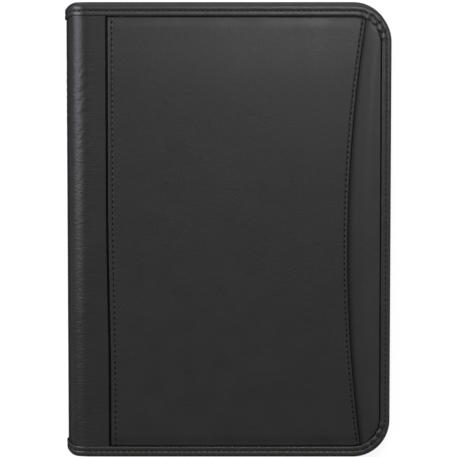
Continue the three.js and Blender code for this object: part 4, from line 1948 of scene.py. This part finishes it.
@dataclass
class Fittings:
    """What is sewn inside the covers, and the pad that slides into its slot."""

    sleeve_left: float = -82.5
    sleeve_right: float = 15.5
    sleeve_foot: float = -19.2
    sleeves: tuple[tuple[float, float], ...] = ((42.8, 21.8), (28.8, 20.8), (14.8, 19.8))

    def panels(self) -> list[SewnPanel]:
        """Lay out the pad's slot, the document pocket, the card pockets and the window's frame."""
        body, looks = Side.FRONT.body, Side.BACK
        left, right, foot = self.sleeve_left, self.sleeve_right, self.sleeve_foot
        cards = [
            SewnPanel(
                f"card_sleeve_{number}", f"card_pocket_{number}", body, left, right, foot, head,
                face_z, looks,
            )
            for number, (head, face_z) in enumerate(self.sleeves, start=1)
        ]
        return [
            SewnPanel(
                "pad_slot", "pad_slot_panel", Side.BACK.body, -105.0, 114.7, -148.9, 1.1, 7.6,
                Side.FRONT, thickness=0.6, edge_inset=6.0, bulge=0.0, stitch_inset=0.9,
            ),
            SewnPanel(
                "document_sleeve", "document_pocket", body, -90.5, 115.2, -163.2, 54.8, 22.8, looks
            ),
            *cards,
            SewnPanel(
                "window_surround", "card_window_frame", body, 23.5, 107.5, -21.2, 42.8, 21.1, looks,
                bulge=0.0, window=8.0,
            ),
        ]

    def build(self) -> None:
        """Build every fitting."""
        for panel in self.panels():
            panel.build()
        WritingPad().build()
        PenLoop().build()


# Studio


@dataclass(frozen=True)
class SoftLamp:
    """One rectangular studio lamp that looks at the middle of the object."""

    name: str
    place: tuple[float, float, float]
    size: tuple[float, float]
    power: float
    colour: str = "#ffffff"

    def build(self) -> None:
        """Hang the lamp."""
        data = bpy.data.lights.new(self.name, "AREA")
        data.shape = "RECTANGLE"
        data.size, data.size_y = self.size
        data.energy = self.power
        data.color = linear(self.colour)[:3]
        lamp = bpy.data.objects.new(self.name, data)
        bpy.context.scene.collection.objects.link(lamp)
        lamp.location = self.place
        lamp.rotation_euler = (-Vector(self.place)).to_track_quat("-Z", "Y").to_euler()
        lamp.visible_camera = False


@dataclass
class Studio:
    """The pale floor, the light and the camera, in metres."""

    distance: float = 2.7
    tilt: float = math.radians(7.2)
    field_mm: float = 338.4
    sensor_mm: float = 36.0
    look_at: tuple[float, float, float] = (0.0004, 0.003, 0.03)
    ambient: float = 0.44
    bright_side: tuple[float, float, float] = (0.2, 1.0, 0.0)
    graded: tuple[tuple[float, float], ...] = ((-0.45, 0.2), (0.42, 1.52))
    floor_colour: str = "#f4f4f4"
    floor_size: float = 6.0
    floor_z: float = -0.0002
    floor_share: float = 0.65
    floor_glow: float = 1.27
    lamps: tuple[SoftLamp, ...] = (
        SoftLamp("head lamp", (0.11, 0.265, 0.95), (0.2, 0.25), 2.4),
        SoftLamp("spine lamp", (-0.70, 0.13, 0.50), (0.34, 0.42), 5.1, "#f3f5ff"),
        SoftLamp("rim lamp", (0.1, 0.95, 0.12), (0.5, 0.1), 1.0),
    )

    def floor(self) -> None:
        """Lay a floor that shows white in the picture and still takes a shadow."""
        shape = bmesh.new()
        bmesh.ops.create_grid(shape, x_segments=1, y_segments=1, size=self.floor_size)
        mesh = bpy.data.meshes.new("floor")
        shape.to_mesh(mesh)
        shape.free()
        floor = bpy.data.objects.new("floor", mesh)
        floor.location.z = self.floor_z
        bpy.context.scene.collection.objects.link(floor)
        paint = bpy.data.materials.new("white painted board")
        paint.use_nodes = True
        tree = paint.node_tree
        tree.nodes.clear()
        matt = add_node(tree, "ShaderNodeBsdfDiffuse", inputs={"Color": linear(self.floor_colour)})
        lit = add_node(tree, "ShaderNodeEmission", inputs={"Strength": self.floor_glow})
        path = add_node(tree, "ShaderNodeLightPath")
        seen = sum_up(tree, "MULTIPLY", self.shown(tree, path), self.floor_share)
        mix = add_node(
            tree,
            "ShaderNodeMixShader",
            inputs={0: seen, 1: matt.outputs["BSDF"], 2: lit.outputs["Emission"]},
        )
        add_node(tree, "ShaderNodeOutputMaterial", inputs={"Surface": mix.outputs["Shader"]})
        mesh.materials.append(paint)

    def shown(self, tree: Tree, path: Node) -> Socket:
        """Find the rays that should meet a white background.

        Args:
            tree: The material's or the world's node tree.
            path: Its Light Path node.

        Returns:
            A socket that is 1 for camera, glossy and transmission rays, and otherwise 0.
        """
        found = path.outputs["Is Camera Ray"]
        for name in ("Is Glossy Ray", "Is Transmission Ray"):
            found = sum_up(tree, "MAXIMUM", found, path.outputs[name])
        return found

    def world(self) -> None:
        """Light the room, a little less from the foot's side, and white past the floor's edge."""
        world = bpy.data.worlds.new("studio")
        bpy.context.scene.world = world
        world.use_nodes = True
        tree = world.node_tree
        tree.nodes.clear()
        path = add_node(tree, "ShaderNodeLightPath")
        strength = remap(tree, self.shown(tree, path), target=(self.ambient, 1.0))
        direction = add_node(tree, "ShaderNodeTexCoord").outputs["Generated"]
        towards = add_node(
            tree,
            "ShaderNodeVectorMath",
            {"operation": "DOT_PRODUCT"},
            {0: direction, 1: self.bright_side},
        ).outputs["Value"]
        grade = remap(tree, towards, *self.graded)
        even = remap(tree, path.outputs["Is Camera Ray"], target=(grade, 1.0))
        light = sum_up(tree, "MULTIPLY", strength, even)
        room = add_node(
            tree,
            "ShaderNodeBackground",
            inputs={"Strength": light, "Color": (1.0, 1.0, 1.0, 1.0)},
        )
        add_node(tree, "ShaderNodeOutputWorld", inputs={"Surface": room.outputs["Background"]})

    def camera(self) -> None:
        """Set up the camera above the front cover, leant towards the head."""
        data = bpy.data.cameras.new("camera")
        data.type = "PERSP"
        data.sensor_width = self.sensor_mm
        data.lens = self.sensor_mm * self.distance / (self.field_mm * MM)
        camera = bpy.data.objects.new("camera", data)
        bpy.context.scene.collection.objects.link(camera)
        target = Vector(self.look_at)
        away = Vector((0.0, math.sin(self.tilt), math.cos(self.tilt)))
        camera.location = target + away * self.distance
        camera.rotation_euler = (-self.tilt, 0.0, 0.0)
        bpy.context.scene.camera = camera

    def build(self) -> None:
        """Set up the studio."""
        bpy.context.scene.view_settings.view_transform = "Standard"
        self.floor()
        self.world()
        for lamp in self.lamps:
            lamp.build()
        self.camera()


# Finishes of the CAD nodes that keep their shape
NODE_FINISHES: dict[str, Finish] = {
    "back_cover_board": GREYBOARD,
    "front_cover_board": GREYBOARD,
    "spine_board": GREYBOARD,
    "zip_stop_back_foot": PLATED_ZINC,
    "zip_stop_back_head": PLATED_ZINC,
    "zip_stop_front_foot": PLATED_ZINC,
    "zip_stop_front_head": PLATED_ZINC,
    "pad_backing_card": BACKING_CARD,
    "pad_head_tape": HEAD_TAPE,
    "card_window_film": VINYL_FILM,
}


def dress_nodes() -> None:
    """Give each CAD node that stays its finish."""
    for name, finish in NODE_FINISHES.items():
        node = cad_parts[name]
        for slot in node.material_slots:
            slot.material = finish.material()
        LOG.info("%s: %s", name, finish.name)


def main() -> None:
    """Build the studio and every sub-assembly in order."""
    logging.basicConfig(level=logging.INFO, format="%(name)s: %(message)s")
    Studio().build()
    Covers().build()
    ZipRow(Side.BACK, tape_outer_z=6.2, tape_inner_z=11.4, teeth_low_z=11.0).build()
    ZipRow(Side.FRONT, tape_outer_z=22.6, tape_inner_z=17.4, teeth_low_z=15.0).build()
    ZipSlider().build()
    Fittings().build()
    dress_nodes()


if __name__ == "__main__":
    main()
